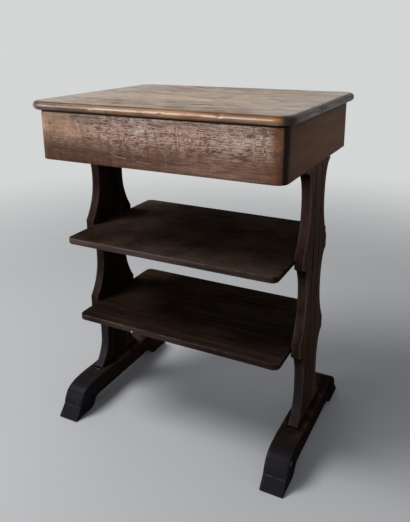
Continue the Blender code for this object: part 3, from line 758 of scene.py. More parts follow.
def lid_finish(name, seed):
    """Bleached and greyed top, a bared honey front edge, grime on the other edges, and painted shade on the
    underside of the edge.
    """
    c = colours()
    f = Finish(name)
    low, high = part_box("lid_board_front")
    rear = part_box("lid_board_rear")[1].y
    down = high.z - f.z
    edge = f.edge()
    tone, fibres, pores = grain(f, X_AXIS, seed, 2.2)
    under = f.ramp(tone, (0.40, c.under_low), (0.62, c.under_high))
    blotch = f.noise(f.place, 8.0, 3.0)
    mottle = f.streaks(X_AXIS, 30.0, 150.0, seed + 41.0, 3.0, 0.70)
    tone = tone + 0.08 * (blotch - 0.5) + 0.44 * (mottle - 0.5)
    ruddy = f.streaks(X_AXIS, 12.0, 70.0, seed + 31.0, 3.0, 0.6).rise(0.50, 0.66)
    checks = f.streaks(X_AXIS, 5.0, 240.0, seed + 21.0).rise(0.66, 0.73)
    checks = checks.most(drawn_marks(f, flat_space(f, f.x, f.y, 0.006), LID_CRACKS))
    rubbed = f.streaks(X_AXIS, 22.0, 60.0, seed + 5.0, 3.0)
    nose = edge.rise(0.0095, 0.0060)
    facing = f.y.rise(low.y + 0.0215, low.y + 0.0080)
    lip = edge.rise(0.0170, 0.0100) * facing * rubbed.rise(0.34, 0.56)
    border = edge.rise(0.0150, 0.0080) * (1.0 - facing)
    top = f.layers(
        f.ramp(tone, (0.42, c.lid_dark), (0.49, c.lid_brown), (0.57, c.lid_pale)),
        (blotch.rise(0.44, 0.64) * 0.24 + abs(f.x).rise(0.11, 0.27) * 0.42, c.lid_grey),
        (ruddy * 0.40, c.lid_red),
        (checks * 0.70, c.nose_brown),
        (pores * 0.5, c.lid_dark),
        *((f.near(point, radius) * 0.8, c.nose_brown) for point, radius in LID_KNOTS),
        (lip * 0.75, f.mix(f.x.rise(-0.14, 0.10), c.nose_brown, c.honey_low)),
        (border * (0.35 + 0.50 * rubbed.rise(0.40, 0.58)), c.nose_brown),
        (down.rise(0.0070, 0.0120), f.mix(pores * 0.5, under, c.under_low)),
    )
    scuffs = f.streaks(Y_AXIS, 11.0, 300.0, seed + 2.0, 3.0, 0.6).rise(0.52, 0.66)
    scuffs = scuffs * f.y.rise(rear - 0.008, rear - 0.030) * f.y.rise(low.y + 0.035, low.y + 0.090)
    grime = f.ramp(rubbed, (0.36, c.nose_grime_and_shade), (0.68, c.nose_brown))
    grime = f.mix(scuffs * 0.50, grime, c.lid_grey)
    honey, pitted = honey_edge(f, seed, down)
    bared = nose * facing * f.x.rise(high.x - 0.012, high.x - 0.027)
    bared = bared * f.x.rise(low.x + 0.006, low.x + 0.020)
    # Painted shade: the bottom of the rounded edge, under the lid, painted near black.
    seam_shadow = nose * down.rise(0.0144, 0.0162)
    base = f.layers(top, (nose, grime), (bared, honey), (seam_shadow * 0.97, c.nose_grime_and_shade))
    roughness = 0.44 + 0.20 * (blotch - 0.5) + 0.12 * pores - 0.14 * bared + 0.06 * checks
    polished = bared * down.rise(0.0038, 0.0056) * down.rise(0.0150, 0.0120)
    film = (0.18 + 0.7 * (tone - 0.5)) * (1.0 - nose.most(border)) * down.rise(0.0120, 0.0070)
    coat = film + polished * (0.5 + 0.5 * rubbed.rise(0.36, 0.52)) - 0.2 * checks
    relief = 0.5 * (tone - 0.5) + 0.22 * (fibres - 0.5) - 0.30 * pores
    height = 0.5 + relief * (1.0 - 0.7 * nose) - 0.45 * checks - 0.5 * pitted * nose
    gloss = {"Specular_IOR_Level": 0.13, "Coat_Roughness": 0.23, "Coat_IOR": 1.95}
    return f.close(base, roughness, height, 0.00045, coat, **gloss)


def front_scuffs(f, base, hidden, seed):
    """The box front's haze, bared patches and scratches, painted shade at its ends, a painted shadow under
    the lid and painted light along its top: its colour, coat, haze and marks.
    """
    c = colours()
    low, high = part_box("box_front")
    up = f.z - low.z
    from_left, from_right = f.x - low.x, high.x - f.x
    cloud = f.noise(f.place, 18.0, 4.0, 0.62)
    streaks = f.streaks(X_AXIS, 30.0, 520.0, seed + 17.0, 3.0, 0.6)
    upper = up.rise(0.0176, 0.0656)
    haze = upper.most(0.45 * f.x.rise(-0.08, 0.12) * from_right.rise(0.02, 0.05)) * cloud.rise(0.30, 0.60)
    haze = haze * (0.30 + 0.55 * f.x.rise(-0.20, -0.02) + 0.55 * f.x.rise(0.02, 0.12))
    sunk = f.x.rise(-0.02, -0.22) * up.rise(0.0596, 0.0276)
    left = f.x.rise(-0.085, -0.190) * up.rise(0.0336, 0.0696) * (0.35 + 0.65 * cloud.rise(0.36, 0.56))
    right = from_right.rise(0.0335, 0.0195) * (0.16 + 0.84 * up.rise(0.0456, 0.0816))
    right = right * (0.5 + 0.5 * cloud.rise(0.40, 0.60))
    # Painted light and sheen: a pale band along the front's top, lifting the lid's shadow.
    top_light = up.rise(0.0496, 0.0796) * f.x.rise(-0.205, -0.150) * from_right.rise(0.0235, 0.0545)
    flat = flat_space(f, f.x, f.z, 0.0036)
    worked = f.noise(f.place, 26.0, 2.0).rise(0.34, 0.56)
    dense = 0.08 + 0.92 * up.rise(0.0216, 0.0656) * (0.30 + 0.70 * f.x.rise(-0.22, -0.06))
    dense = dense * (0.62 + 0.38 * worked)
    pale, dark = scratches(f, flat, seed)
    pale = pale.most(scribbles(f, flat, seed)) * dense
    drawn = drawn_marks(f, flat, FRONT_SCRATCHES) * (0.15 + 0.20 * worked + 0.50 * upper)
    grit = f.noise(f.place, 420.0, 2.0, 0.6).rise(0.57, 0.68) * dense * 0.3
    marks = pale.most(drawn).most(grit) * from_right.rise(0.0155, 0.0375)
    bare = f.mix(f.noise(f.place, 13.0, 2.0).rise(0.44, 0.56), c.scratch, c.scratch_warm)
    # Painted shadow: a near-black line along the front's top, under the lid's rounded edge.
    seam_shadow = up.rise(0.0958, 0.0972)
    # Painted shade on the front's rounded ends, which also lose their coat.
    ends = from_right.rise(0.0088, 0.0045).most(from_left.rise(0.0115, 0.0065))
    shown = abs(f.facing("Z")).rise(0.9, 0.7) * f.facing("Y").rise(0.7, 0.3)
    base = f.layers(
        base,
        (haze * (0.16 + 0.50 * streaks.rise(0.44, 0.58)), c.apron_haze),
        (sunk * 0.58, c.apron_dark),
        (left * (0.55 + 0.40 * streaks.rise(0.38, 0.60)), c.apron_honey),
        (right * 0.85, c.apron_amber),
        (top_light * (0.06 + 0.40 * streaks.rise(0.45, 0.58)), c.apron_top_light),
        (dark * dense * 0.55, c.apron_dark),
        (marks * 0.82, bare),
        (seam_shadow * 0.97, c.groove_grime_and_shade),
        (ends * 0.95, c.apron_end_shade),
    )
    coat = (0.14 + 0.18 * haze) * (1.0 - ends) * (1.0 - seam_shadow) * shown
    return f.mix(shown, hidden, base), coat, haze, marks


def apron_finish(name, axis, seed, scuffed):
    """Red-brown varnish of the box boards; the front is scuffed, the others are plainer."""
    c = colours()
    f = Finish(name)
    tone, fibres, pores = grain(f, axis, seed)
    blotch = f.noise(f.place, 11.0, 3.0)
    edge = f.edge()
    varnished = tone + 0.10 * (blotch - 0.5)
    base = f.ramp(varnished, (0.41, c.apron_dark), (0.50, c.apron_red), (0.60, c.apron_pale))
    hidden = f.mix(0.45, base, c.side_brown)
    roughness = 0.42 + 0.20 * (blotch - 0.5) + 0.10 * pores
    height = 0.5 + 0.20 * (fibres - 0.5) - 0.25 * pores
    if scuffed:
        base, coat, haze, marks = front_scuffs(f, base, hidden, seed)
        roughness = roughness + 0.16 * haze + 0.14 * marks
        height = height - 0.55 * marks
    else:
        shaded = f.y.rise(-0.10, -0.185) * 0.30
        base = f.layers(hidden, (shaded, c.apron_dark), (edge.rise(0.022, 0.002) * 0.30, c.apron_dark))
        coat = 0.01 * blotch
    rim = edge.rise(0.0040, 0.0005) * f.noise(f.place, 60.0, 3.0).rise(0.42, 0.60)
    base = f.mix(rim * 0.5, base, c.apron_dark)
    shine = 0.06 if scuffed else 0.01
    return f.close(base, roughness, height, 0.0004, coat, Specular_IOR_Level=shine, Coat_Roughness=0.30)


def dark_finish(name, axis, seed, rubbed, marks):
    """Dark stain with faint streaks, red-brown patches, rubbed edges and a piece's own marks."""
    c = colours()
    f = Finish(name)
    tone, fibres, pores = grain(f, axis, seed)
    blotch = f.noise(f.place, 10.0, 3.0)
    speck = f.noise(f.place, 75.0, 4.0, 0.65)
    stained = tone + 0.12 * (blotch - 0.5)
    base = f.ramp(stained, (0.37, c.stain_low_and_shade), (0.50, c.stain_mid), (0.64, c.stain_high))
    patches = f.noise(f.place, 6.0, 2.0).rise(0.52, 0.68)
    rim = f.edge().rise(0.0048, 0.0004) * speck.rise(0.38, 0.62) * rubbed
    base = f.layers(base, (patches * 0.5, c.stain_red), (rim, c.stain_rim_and_sheen))
    roughness = 0.46 + 0.22 * (blotch - 0.5) + 0.08 * pores - 0.08 * rim
    coat = 0.015 * blotch.rise(0.40, 0.60) + 0.20 * rim
    base, coat = marks(f, base, coat, tone, speck)
    base = f.mix(pores * 0.4, base, c.stain_low_and_shade)
    height = 0.5 + 0.24 * (fibres - 0.5) - 0.30 * pores - 0.15 * rim
    return f.close(base, roughness, height, 0.0004, coat, Specular_IOR_Level=0.0, Coat_Roughness=0.32)


def shelf_marks(front, rubbed, chip_at=None):
    """A rubbed top with painted light towards its left and painted shade at its left front corner, a front
    edge rubbed paler with painted light towards the left and painted shade towards the right, and the shelf's
    chip.
    """

    def marks(f, base, coat, tone, speck):
        c = colours()
        face = f.y.rise(front + 0.0026, front + 0.0012)
        level = abs(f.facing("Z")).rise(0.7, 0.9)
        patchy = f.noise(f.place, 14.0, 4.0, 0.6).rise(0.36, 0.62)
        # Rubbed warm patches on the top, stronger towards the left and front as painted light.
        worn = 0.75 * f.x.rise(-0.05, -0.14) * f.y.rise(-0.08, 0.0) + 0.35 * f.y.rise(-0.04, -0.10)
        worn = (0.70 + worn) * (0.35 + 0.65 * patchy) * level
        shaded = f.x.rise(-0.12, -0.20) * f.y.rise(0.02, -0.08) * level
        # The front edge rubbed paler, with painted light towards the left.
        rubbed_and_lit = 0.14 + 0.35 * rubbed + 0.6 * tone.rise(0.42, 0.58)
        rubbed_and_lit = rubbed_and_lit * (0.30 + 0.70 * f.x.rise(0.16, -0.12))
        # Painted shade on the front edge towards the right.
        edge_right_shade = f.x.rise(-0.10, 0.20) * (0.60 - 0.60 * rubbed)
        base = f.layers(
            base,
            (worn * rubbed, c.stain_warm_and_sheen),
            (shaded * 0.62, c.stain_low_and_shade),
            (face * rubbed_and_lit, c.stain_rim_and_sheen),
            (face * edge_right_shade, c.stain_low_and_shade),
        )
        if chip_at:
            base = f.mix(f.near(chip_at, 0.0042), base, c.chip)
        return base, coat + (0.02 + 0.08 * rubbed) * face

    return marks


def groove_marks(f, base, coat, tone, speck):
    """A leg's faded outer face, its grooves with grime and painted shade in them, and their ridges, its sawn
    edges, painted shade on the left leg's sawn edges and on faces turned downwards, and painted shade on its
    end in the foot.
    """
    c = colours()
    s = sizes()
    gap = abs(abs(f.y) - s.groove_spacing / 2)
    half_width = math.sqrt(s.groove_depth * (2 * s.groove_radius - s.groove_depth))
    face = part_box("leg_right")[1].x
    foot_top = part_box("foot_right")[1].z
    outer = abs(f.x).rise(face - 0.0047, face - 0.0033)
    faded = 0.20 + 0.22 * f.z.rise(0.15, 0.40) + 0.50 * f.z.rise(0.50, 0.62) + 0.20 * f.y.rise(0.0, 0.03)
    faded = faded * (0.65 + 0.35 * tone.rise(0.42, 0.58))
    ridge = gap.rise(0.0075, 0.0048) * speck.rise(0.36, 0.56)
    groove_grime_and_shade = gap.rise(half_width + 0.0008, half_width + 0.0002)
    sawn = abs(f.facing("Y")).rise(0.35, 0.70)
    left_leg_shade, on_right = f.x.rise(0.05, -0.05), f.x.rise(-0.05, 0.05)
    base = f.layers(
        base,
        (outer * faded, c.leg_brown),
        (outer * ridge * 0.5, c.leg_brown),
        # Grime and painted shade in the grooves.
        (outer * groove_grime_and_shade * 0.95, c.groove_grime_and_shade),
        (sawn * (0.06 + 0.28 * tone.rise(0.44, 0.56)), c.leg_edge),
        # Painted shade on the left leg's sawn edges, which face the light from the left.
        (sawn * left_leg_shade * 0.55, c.stain_low_and_shade),
        (sawn * on_right * f.z.rise(0.44, 0.50) * 0.32, c.leg_edge),
        (sawn * f.z.rise(0.26, 0.10) * 0.6, c.leg_low),
        # Painted shade on faces that turn downwards, such as the coves under the blocks.
        (f.facing("Z").rise(-0.10, -0.60) * 0.9, c.groove_grime_and_shade),
        # Painted shade on the leg's end inside the foot's mortise.
        (f.z.rise(foot_top + 0.0010, foot_top) * 0.95, c.groove_grime_and_shade),
    )
    return base, coat + 0.06 * sawn


def toe_marks(f, base, coat, tone, speck):
    """Scuffed toes with a bluish painted sheen and a pale arris that is partly a painted highlight, painted
    shade behind the right foot's front shoulder, a pale lip before the leg.
    """
    c = colours()
    s = sizes()
    low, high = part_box("foot_right")
    speckled = speck.rise(0.40, 0.60)
    toe = abs(f.y).rise(0.138, 0.160)
    trodden = f.y.rise(-0.040, -0.140)
    # Scuffed toes, their bluish tint a painted sheen.
    scuffed = 0.05 + 0.55 * trodden + toe * (0.10 + 0.25 * speckled)
    # A rubbed pale arris along the toe's edge, partly a painted highlight.
    along = abs(abs(f.y) - (high.y - s.toe_setback))
    arris = along.rise(0.0016, 0.0005) * abs(f.z - s.toe_height).rise(0.0016, 0.0005)
    arris = arris * abs(f.facing("X")).rise(0.8, 0.5)
    lip_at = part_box("leg_right")[1].y + s.mortise_slack + 0.0015
    lip = abs(abs(f.y) - lip_at).rise(0.0016, 0.0007) * f.z.rise(high.z - 0.0025, high.z - 0.0012)
    lip = lip * abs(abs(f.x) - (low.x + high.x) / 2).rise(0.009, 0.006)
    # Painted shade on the right foot's front slope.
    front_toe_shade = f.x.rise(-0.05, 0.05) * f.y.rise(-0.170, -0.135)
    top = f.z.rise(high.z - 0.012, high.z - 0.002) * (1.0 - trodden)
    top = top * f.noise(f.place, 22.0, 3.0).rise(0.40, 0.60)
    nick = f.near((high.x - 0.0005, -0.152, 0.0425), 0.0062)
    base = f.layers(
        base,
        (scuffed, c.toe_grime_and_sheen),
        (arris * (0.02 + 0.16 * speckled), c.toe_pale_and_highlight),
        (lip * 0.4, c.toe_pale_and_highlight),
        (front_toe_shade * 0.50, c.stain_low_and_shade),
        (top * 0.7, c.stain_warm_and_sheen),
        (nick * 0.8, c.toe_pale_and_highlight),
    )
    return base, coat + (0.02 + 0.03 * f.z.rise(0.024, 0.028)) * toe


def bare_finish(name, axis, seed, low, high):
    """Bare unpolished wood."""
    f = Finish(name)
    tone, fibres, pores = grain(f, axis, seed)
    stain = f.noise(f.place, 9.0, 3.0)
    base = f.ramp(tone, (0.36, low), (0.64, high))
    base = f.layers(base, (stain.rise(0.52, 0.72) * 0.35, low), (pores * 0.5, low))
    height = 0.5 + 0.4 * (fibres - 0.5) - 0.3 * pores
    return f.close(base, 0.68 + 0.16 * (stain - 0.5), height, 0.0005)


def metal_finish(name, bright, dull, roughness, cover):
    """Old metal under a patchy film."""
    f = Finish(name)
    dulled = f.noise(f.place, 240.0, 4.0, 0.6).rise(cover, cover + 0.16)
    rubbed = f.streaks(X_AXIS, 90.0, 2600.0, 1.0)
    rough = roughness + 0.3 * dulled + 0.12 * (rubbed - 0.5)
    height = 0.5 + 0.25 * (rubbed - 0.5) + 0.3 * dulled
    return f.close(f.mix(dulled, bright, dull), rough, height, 0.00012, Metallic=1.0 - 0.55 * dulled)


# Pieces


class BOOKTABLE_OT_lid(bpy.types.Operator):
    """Makes the lid's three boards with their rounded edge"""

    bl_idname = "book_table.lid"
    bl_label = "Lid boards"

    def execute(self, context):
        s = sizes()
        low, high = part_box("lid_board_front")
        high = Vector((high.x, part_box("lid_board_rear")[1].y, high.z))
        rows = nose_rows(low.z, high.z, s.lid_nose)
        nicks = (
            ((-0.118, low.y, 0.7330), 0.006, 0.0011),
            ((0.034, low.y, 0.7310), 0.005, 0.0012),
            ((0.149, low.y, 0.7350), 0.007, 0.0010),
            ((high.x, -0.060, 0.7340), 0.008, 0.0011),
            ((low.x + 0.012, -0.205, 0.7350), 0.007, 0.0012),
        )
        whole, outline = plan_board("lid_whole", low, high, s.lid_corner, s.lid_corner, rows, nicks)
        for seed, label in enumerate(("front", "middle", "rear")):
            node = f"lid_board_{label}"
            piece = self.sawn(whole, f"lid_{label}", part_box(node))
            Tool().holes(*named("batten_screw", label)).cut(piece)
            if label == "rear":
                for side in SIDES:
                    self.hinge_seat(piece, side)
            measure_edges(piece, outline, PLAN)
            settle(piece, "lid", node, lid_finish(f"lid_wood_{label}", 1.7 * seed))
        bpy.data.objects.remove(whole)
        return {"FINISHED"}

    @staticmethod
    def sawn(whole, name, limits):
        """One board of the lid, cut between the joints."""
        shape = bmesh.new()
        shape.from_mesh(whole.data)
        for limit, direction in zip(limits, (-1, 1)):
            bmesh.ops.bisect_plane(
                shape, geom=shape.verts[:] + shape.edges[:] + shape.faces[:], plane_co=(0, limit.y, 0),
                plane_no=(0, direction, 0), clear_outer=True
            )
            open_edges = [edge for edge in shape.edges if edge.is_boundary]
            if open_edges:
                bmesh.ops.holes_fill(shape, edges=open_edges, sides=0)
        return solid(name, shape)

    @staticmethod
    def hinge_seat(piece, side):
        """The recess for a hinge's leaf and the notch for its barrel."""
        room = sizes().clearance
        leaf_low, leaf_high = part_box(f"hinge_lid_leaf_{side}")
        pin_low, pin_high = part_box(f"hinge_pin_{side}")
        axis = (pin_low + pin_high) / 2
        below = leaf_low.z - PAST
        top = axis.z + 2 * room + sizes().leaf_thickness
        barrel = leaf_high.z - axis.z + 2 * room
        seat = ((leaf_low.x - room, leaf_low.y - room, below), (leaf_high.x + room, axis.y, top))
        notch = (
            (pin_low.x - room, axis.y - barrel, below),
            (pin_high.x + room, axis.y + barrel, axis.z + barrel),
        )
        Tool().box(*seat).cut(piece)
        Tool().box(*notch).cut(piece)
        Tool().holes(*named("hinge_lid_screw", side)).cut(piece)


class BOOKTABLE_OT_box(bpy.types.Operator):
    """Makes the four boards of the box under the lid"""

    bl_idname = "book_table.box"
    bl_label = "Box boards"

    def execute(self, context):
        s = sizes()
        room = Vector((1, 1, 1)) * s.clearance
        groove_low, groove_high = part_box("box_bottom")
        for seed, node in enumerate(("box_front", "box_back", "box_side_left", "box_side_right")):
            low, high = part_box(node)
            rows = board_rows(low.z, high.z, s.box_arris, s.spacing)
            front = s.box_corner if node == "box_front" else 0.0
            back = s.box_corner if node == "box_back" else 0.0
            axis = Y_AXIS if "side" in node else X_AXIS
            piece, outline = plan_board(f"{node}_board", low, high, front, back, rows)
            Tool().box(groove_low - room, groove_high + room).cut(piece)
            if node == "box_back":
                self.hinge_seats(piece, high.z)
            if axis == Y_AXIS:
                Tool().holes(*named("leg_dowel", node.rsplit("_", 1)[1])).cut(piece)
            measure_edges(piece, outline, PLAN, (low.z, high.z))
            finish = apron_finish(f"apron_wood_{node}", axis, 2.9 * seed + 0.6, node == "box_front")
            settle(piece, "frame", node, finish)
        return {"FINISHED"}

    @staticmethod
    def hinge_seats(piece, top):
        """Recesses in the back board's top edge for the hinge leaves."""
        room = sizes().clearance
        for side in SIDES:
            low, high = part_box(f"hinge_box_leaf_{side}")
            pin_low, pin_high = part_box(f"hinge_pin_{side}")
            floor = (pin_low.z + pin_high.z) / 2 - 2 * room - sizes().leaf_thickness
            seat = ((low.x - room, low.y - room, floor), (high.x + room, high.y + PAST, top + PAST))
            Tool().box(*seat).cut(piece)
            Tool().holes(*named("hinge_box_screw", side)).cut(piece)


def leg_bay(block, waist, top, bottom, cove_share, flare_share):
    """One bay of a leg's edge, downwards: a cove under the block, the waist, a flare to the next block."""
    steps = 26
    depth = block - waist
    cove = cove_share * (top - bottom)
    flare = flare_share * (top - bottom)
    radius = (flare ** 2 + depth ** 2) / (2 * depth)
    sweep = math.degrees(math.asin(min(1.0, flare / radius)))
    points = arc((block, top - cove), (depth, cove), 90, 180, steps)
    return points + arc((waist + radius, bottom + flare), (radius, radius), 180, 180 + sweep, steps)


class BOOKTABLE_OT_legs(bpy.types.Operator):
    """Makes the two scroll-cut legs with their grooves"""

    bl_idname = "book_table.legs"
    bl_label = "Legs"

    def execute(self, context):
        s = sizes()
        for side, sign in SIDES.items():
            node = f"leg_{side}"
            low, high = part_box(node)
            outline = walked(self.outline(low, high))
            rows = board_rows(low.x, high.x, s.leg_arris, s.leg_rows)
            piece = board(f"leg_plate_{side}", outline, rows, SIDE_VIEW)
            outer = high.x if sign > 0 else low.x
            x = outer + sign * (s.groove_radius - s.groove_depth)
            for end in ENDS.values():
                y = end * s.groove_spacing / 2
                bottom, top = (x, y, low.z - PAST), (x, y, high.z + PAST)
                Tool().rod(bottom, top, s.groove_radius, Z_AXIS, 28).cut(piece)
            holes = named("leg_dowel", side) + named("shelf_dowel", side) + named("foot_screw", side)
            Tool().holes(*holes).cut(piece)
            measure_edges(piece, outline, SIDE_VIEW, (low.x, high.x))
            finish = dark_finish(f"dark_wood_{node}", Z_AXIS, 4.3 + sign, 0.60, groove_marks)
            settle(piece, "frame", node, finish)
        return {"FINISHED"}

    @staticmethod
    def outline(low, high):
        """A leg from the side: u is depth and v is height."""
        s = sizes()
        block, waist = high.y, s.leg_waist / 2
        upper_low, upper_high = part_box("shelf_upper")
        lower_low, lower_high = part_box("shelf_lower")
        foot_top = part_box("foot_left")[1].z
        bays = (
            (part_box("box_front")[0].z - s.leg_drop, upper_high.z + s.leg_rise, s.flare_share),
            (upper_low.z - s.leg_drop, lower_high.z + s.leg_rise, s.flare_share),
            (lower_low.z - s.leg_drop, foot_top + s.leg_heel, s.heel_share),
        )
        half = [Vector((block, high.z))]
        for top, bottom, flare_share in bays:
            half += leg_bay(block, waist, top, bottom, s.cove_share, flare_share)
        half.append(Vector((block, low.z)))
        return mirrored(half)


class BOOKTABLE_OT_feet(bpy.types.Operator):
    """Makes the two sled feet with their mortises"""

    bl_idname = "book_table.feet"
    bl_label = "Feet"

    def execute(self, context):
        s = sizes()
        for side, sign in SIDES.items():
            node = f"foot_{side}"
            low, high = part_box(node)
            outline = walked(self.outline(low, high))
            rows = board_rows(low.x, high.x, s.foot_arris, s.foot_rows)
            nicks = (
                ((high.x, -0.152, 0.043), 0.009, 0.0022),
                ((low.x, 0.120, 0.058), 0.008, 0.0016),
                ((high.x, 0.182, 0.027), 0.007, 0.0016),
            )
            piece = board(f"foot_sled_{side}", outline, rows, SIDE_VIEW, nicks, s.foot_wear)
            leg_low, leg_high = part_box(f"leg_{side}")
            mortise_top = Vector((leg_high.x, leg_high.y, high.z + PAST))
            room = Vector((s.clearance, s.mortise_slack, s.clearance))
            Tool().box(leg_low - room, mortise_top + room).cut(piece)
            Tool().holes(*named("foot_screw", side)).cut(piece)
            measure_edges(piece, outline, SIDE_VIEW, (low.x, high.x))
            finish = dark_finish(f"dark_wood_{node}", Y_AXIS, 8.1 + sign, 0.30, toe_marks)
            settle(piece, "frame", node, finish)
        return {"FINISHED"}

    @staticmethod
    def outline(low, high):
        """A foot from the side: sloped toes, rolled shoulders and a relieved underside."""
        s = sizes()
        half_length, height = high.y, high.z
        flat = (s.foot_flat / 2, height)
        toe = (half_length - s.toe_setback, s.toe_height)
        flat_handle = (flat[0] + s.foot_roll, height)
        toe_handle = (toe[0] - s.toe_in, toe[1] + s.toe_up)
        half = bezier(flat, flat_handle, toe_handle, toe, 34)
        tip = Vector((half_length, low.z))
        slope = Vector(toe) - tip
        above = tip + slope * (s.tip_round / slope.length)
        behind = tip - Vector((s.tip_round, 0.0))
        half += bezier(above, above.lerp(tip, 0.39), behind.lerp(tip, 0.39), behind, 6)
        pad_end = half_length - s.pad_length
        relief = pad_end - s.relief_run
        middle = (pad_end + relief) / 2
        half += bezier(
            (pad_end, 0), (middle, 0), (middle, s.relief_height), (relief, s.relief_height), 14
        )
        return mirrored(half)


class BOOKTABLE_OT_shelves(bpy.types.Operator):
    """Makes the two open shelves"""

    bl_idname = "book_table.shelves"
    bl_label = "Shelves"

    def execute(self, context):
        s = sizes()
        wear = {"upper": (0.76, None), "lower": (0.08, (-0.0974, -0.1483, 0.2386))}
        for seed, (level, (rubbed, chip)) in enumerate(wear.items()):
            node = f"shelf_{level}"
            low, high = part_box(node)
            rows = board_rows(low.z, high.z, s.shelf_arris, s.shelf_rows)
            nicks = ((chip, 0.0055, 0.0016),) if chip else ()
            radii = (s.shelf_corner, s.shelf_corner)
            piece, outline = plan_board(f"shelf_board_{level}", low, high, *radii, rows, nicks)
            Tool().holes(*named("shelf_dowel", level)).cut(piece)
            measure_edges(piece, outline, PLAN, (low.z, high.z))
            marks = shelf_marks(low.y, rubbed, chip)
            finish = dark_finish(f"dark_wood_{node}", X_AXIS, 13.0 + 3 * seed, 0.50, marks)
            settle(piece, "frame", node, finish)
        return {"FINISHED"}


class BOOKTABLE_OT_inner_wood(bpy.types.Operator):
    """Paints the battens, the box's bottom, the corner blocks and the dowels"""

    bl_idname = "book_table.inner_wood"
    bl_label = "Inner wood"

    def execute(self, context):
        c = colours()
        inner, dowel = (c.inner_low, c.inner_high), (c.dowel_low, c.dowel_high)
        for word, name, axis, seed, tones in (
            ("lid_batten", "inner_wood_batten", Y_AXIS, 2.2, inner),
            ("box_bottom", "inner_wood_bottom", X_AXIS, 5.2, inner),
            ("corner_block", "inner_wood_block", Z_AXIS, 7.2, inner),
            ("leg_dowel", "dowel_wood_upright", Z_AXIS, 1.2, dowel),
            ("shelf_dowel", "dowel_wood_level", X_AXIS, 3.2, dowel),
        ):
            paint(named(word), bare_finish(name, axis, seed, *tones))
        return {"FINISHED"}


class BOOKTABLE_OT_hardware(bpy.types.Operator):
    """Paints the hinges and makes the slotted screws"""

    bl_idname = "book_table.hardware"
    bl_label = "Hinges and screws"

    def execute(self, context):
        c = colours()
        brass = metal_finish("hinge_brass_aged", c.brass, c.brass_tarnish, 0.34, 0.50)
        steel = metal_finish("screw_steel_dull", c.steel, c.steel_rust, 0.42, 0.52)
        paint(named("hinge", "leaf") + named("hinge_pin"), brass)
        on_frame = frame["record"]["behaviour"]["bodies"]["frame"]
        for node in named("screw"):
            body = "frame" if node in on_frame else "lid"
            settle(self.slotted(node), body, node, steel)
        return {"FINISHED"}

    @staticmethod
    def slotted(node):
        """A countersunk screw with a worn slot, in its node's place."""
        low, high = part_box(node)
        head = (high.x - low.x) / 2
        shank = 0.5 * head
        span = high.z - low.z
        profile = (
            (0, 0), (head, 0), (head, -0.08 * head), (shank, shank - head), (shank, -0.7 * span), (0, -span)
        )
        shape = bmesh.new()
        verts = [shape.verts.new((radius, 0, height)) for radius, height in profile]
        edges = [shape.edges.new(pair) for pair in zip(verts, verts[1:])]
        bmesh.ops.spin(
            shape, geom=verts + edges, cent=(0, 0, 0), axis=(0, 0, 1), angle=math.tau, steps=28,
            use_merge=True
        )
        bmesh.ops.remove_doubles(shape, verts=shape.verts, dist=1e-6)
        screw = solid(node + "_slotted", shape)
        slot = 0.13 * head
        Tool().box((-2 * head, -slot, -0.45 * head), (2 * head, slot, head)).cut(screw)
        up = "hinge_box" in node
        middle = (low + high) / 2
        turn = Euler((0.0 if up else math.pi, 0.0, 40.0 * middle.x + 25.0 * middle.y))
        place = Vector((middle.x, middle.y, high.z if up else low.z))
        screw.data.transform(Matrix.LocRotScale(place, turn, None))
        return screw


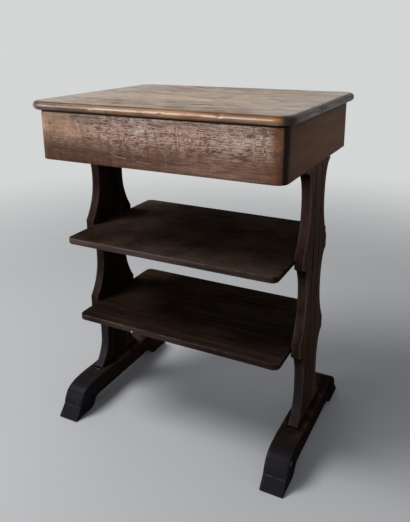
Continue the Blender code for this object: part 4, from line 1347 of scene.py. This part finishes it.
class BOOKTABLE_OT_stage(bpy.types.Operator):
    """Sets the floor, the light and the camera"""

    bl_idname = "book_table.stage"
    bl_label = "Stage"

    def execute(self, context):
        stage = context.scene.book_table_stage
        self.floor(stage)
        self.surround(stage)
        window = self.lamp("window_light", stage.window_power, stage.window_tint, (1.4, 1.4))
        self.aim(window, (-1.5, -0.95, 2.75), (0.0, -0.05, 0.50))
        fill = self.lamp("front_fill", stage.fill_power, stage.fill_tint, (2.4, 1.6))
        self.aim(fill, (-1.60, -2.6, 1.20), (0.0, 0.0, 0.50))
        self.camera(stage)
        context.scene.view_settings.view_transform = "Standard"
        return {"FINISHED"}

    @staticmethod
    def floor(stage):
        """A pale floor that fades out before its edge."""
        mesh = bpy.data.meshes.new("floor")
        half = stage.floor_size / 2
        corners = [(-half, -half, 0), (half, -half, 0), (half, half, 0), (-half, half, 0)]
        mesh.from_pydata(corners, [], [(0, 1, 2, 3)])
        floor = new_object("floor", mesh)
        f = Finish("floor_pale")
        cloud = f.noise(f.place, 1.3, 2.0)
        pale = Vector(stage.floor_colour)
        base = f.mix(cloud, pale * 0.97, pale * 1.03)
        fade = f.vector("LENGTH", f.place, output="Value").rise(2.6, 0.9)
        mesh.materials.append(f.close(base, 0.62 + 0.1 * (cloud - 0.5), cloud, 0.0001, Alpha=fade))

    @staticmethod
    def surround(stage):
        """Soft light from all round, and a pale backdrop where the camera or a shine sees it."""
        world = bpy.data.worlds.new("surround")
        w = Shading(world)
        seen = w.node("ShaderNodeLightPath", output="Is Camera Ray")
        through = seen.most(seen.other("Is Glossy Ray")).most(seen.other("Is Transmission Ray"))
        soft = w.node("ShaderNodeBackground", None, {"Color": rgba(stage.ambient)})
        backdrop = w.node("ShaderNodeBackground", None, {"Color": rgba(stage.backdrop)})
        choice = w.node("ShaderNodeMixShader", None, {0: through, 1: soft, 2: backdrop})
        w.node("ShaderNodeOutputWorld", None, {"Surface": choice})
        bpy.context.scene.world = world

    @staticmethod
    def lamp(name, energy, tint, size):
        data = bpy.data.lights.new(name, "AREA")
        data.shape = "ELLIPSE"
        data.size, data.size_y = size
        data.energy = energy
        data.color = tint
        return new_object(name, data)

    @staticmethod
    def aim(lamp, place, target):
        lamp.location = place
        lamp.rotation_euler = (Vector(target) - Vector(place)).to_track_quat("-Z", "Y").to_euler()

    @staticmethod
    def camera(stage):
        data = bpy.data.cameras.new("camera")
        data.lens = stage.lens
        data.sensor_width = 36.0
        data.shift_y = stage.shift
        camera = new_object("camera", data)
        camera.location = stage.camera_place
        camera.rotation_euler = stage.camera_turn
        bpy.context.scene.camera = camera


OPERATORS = (
    BOOKTABLE_OT_lid,
    BOOKTABLE_OT_box,
    BOOKTABLE_OT_legs,
    BOOKTABLE_OT_feet,
    BOOKTABLE_OT_shelves,
    BOOKTABLE_OT_inner_wood,
    BOOKTABLE_OT_hardware,
    BOOKTABLE_OT_stage,
)


class BOOKTABLE_PT_pieces(bpy.types.Panel):
    """Lists the table's pieces"""

    bl_idname = "BOOKTABLE_PT_pieces"
    bl_label = "Book Table"
    bl_space_type = "VIEW_3D"
    bl_region_type = "UI"
    bl_category = "Book Table"

    def draw(self, context):
        for operator in OPERATORS:
            self.layout.operator(operator.bl_idname)


GROUPS = {
    "book_table_colours": BookTableColours,
    "book_table_sizes": BookTableSizes,
    "book_table_stage": BookTableStage,
}
CLASSES = (*GROUPS.values(), *OPERATORS, BOOKTABLE_PT_pieces)


def register():
    for item in CLASSES:
        bpy.utils.register_class(item)
    for name, group in GROUPS.items():
        setattr(bpy.types.Scene, name, PointerProperty(type=group))


def unregister():
    for name in GROUPS:
        delattr(bpy.types.Scene, name)
    for item in reversed(CLASSES):
        bpy.utils.unregister_class(item)


def main():
    register()
    bpy.ops.book_table.lid()
    bpy.ops.book_table.box()
    bpy.ops.book_table.legs()
    bpy.ops.book_table.feet()
    bpy.ops.book_table.shelves()
    bpy.ops.book_table.inner_wood()
    bpy.ops.book_table.hardware()
    bpy.ops.book_table.stage()


if __name__ == "__main__":
    main()
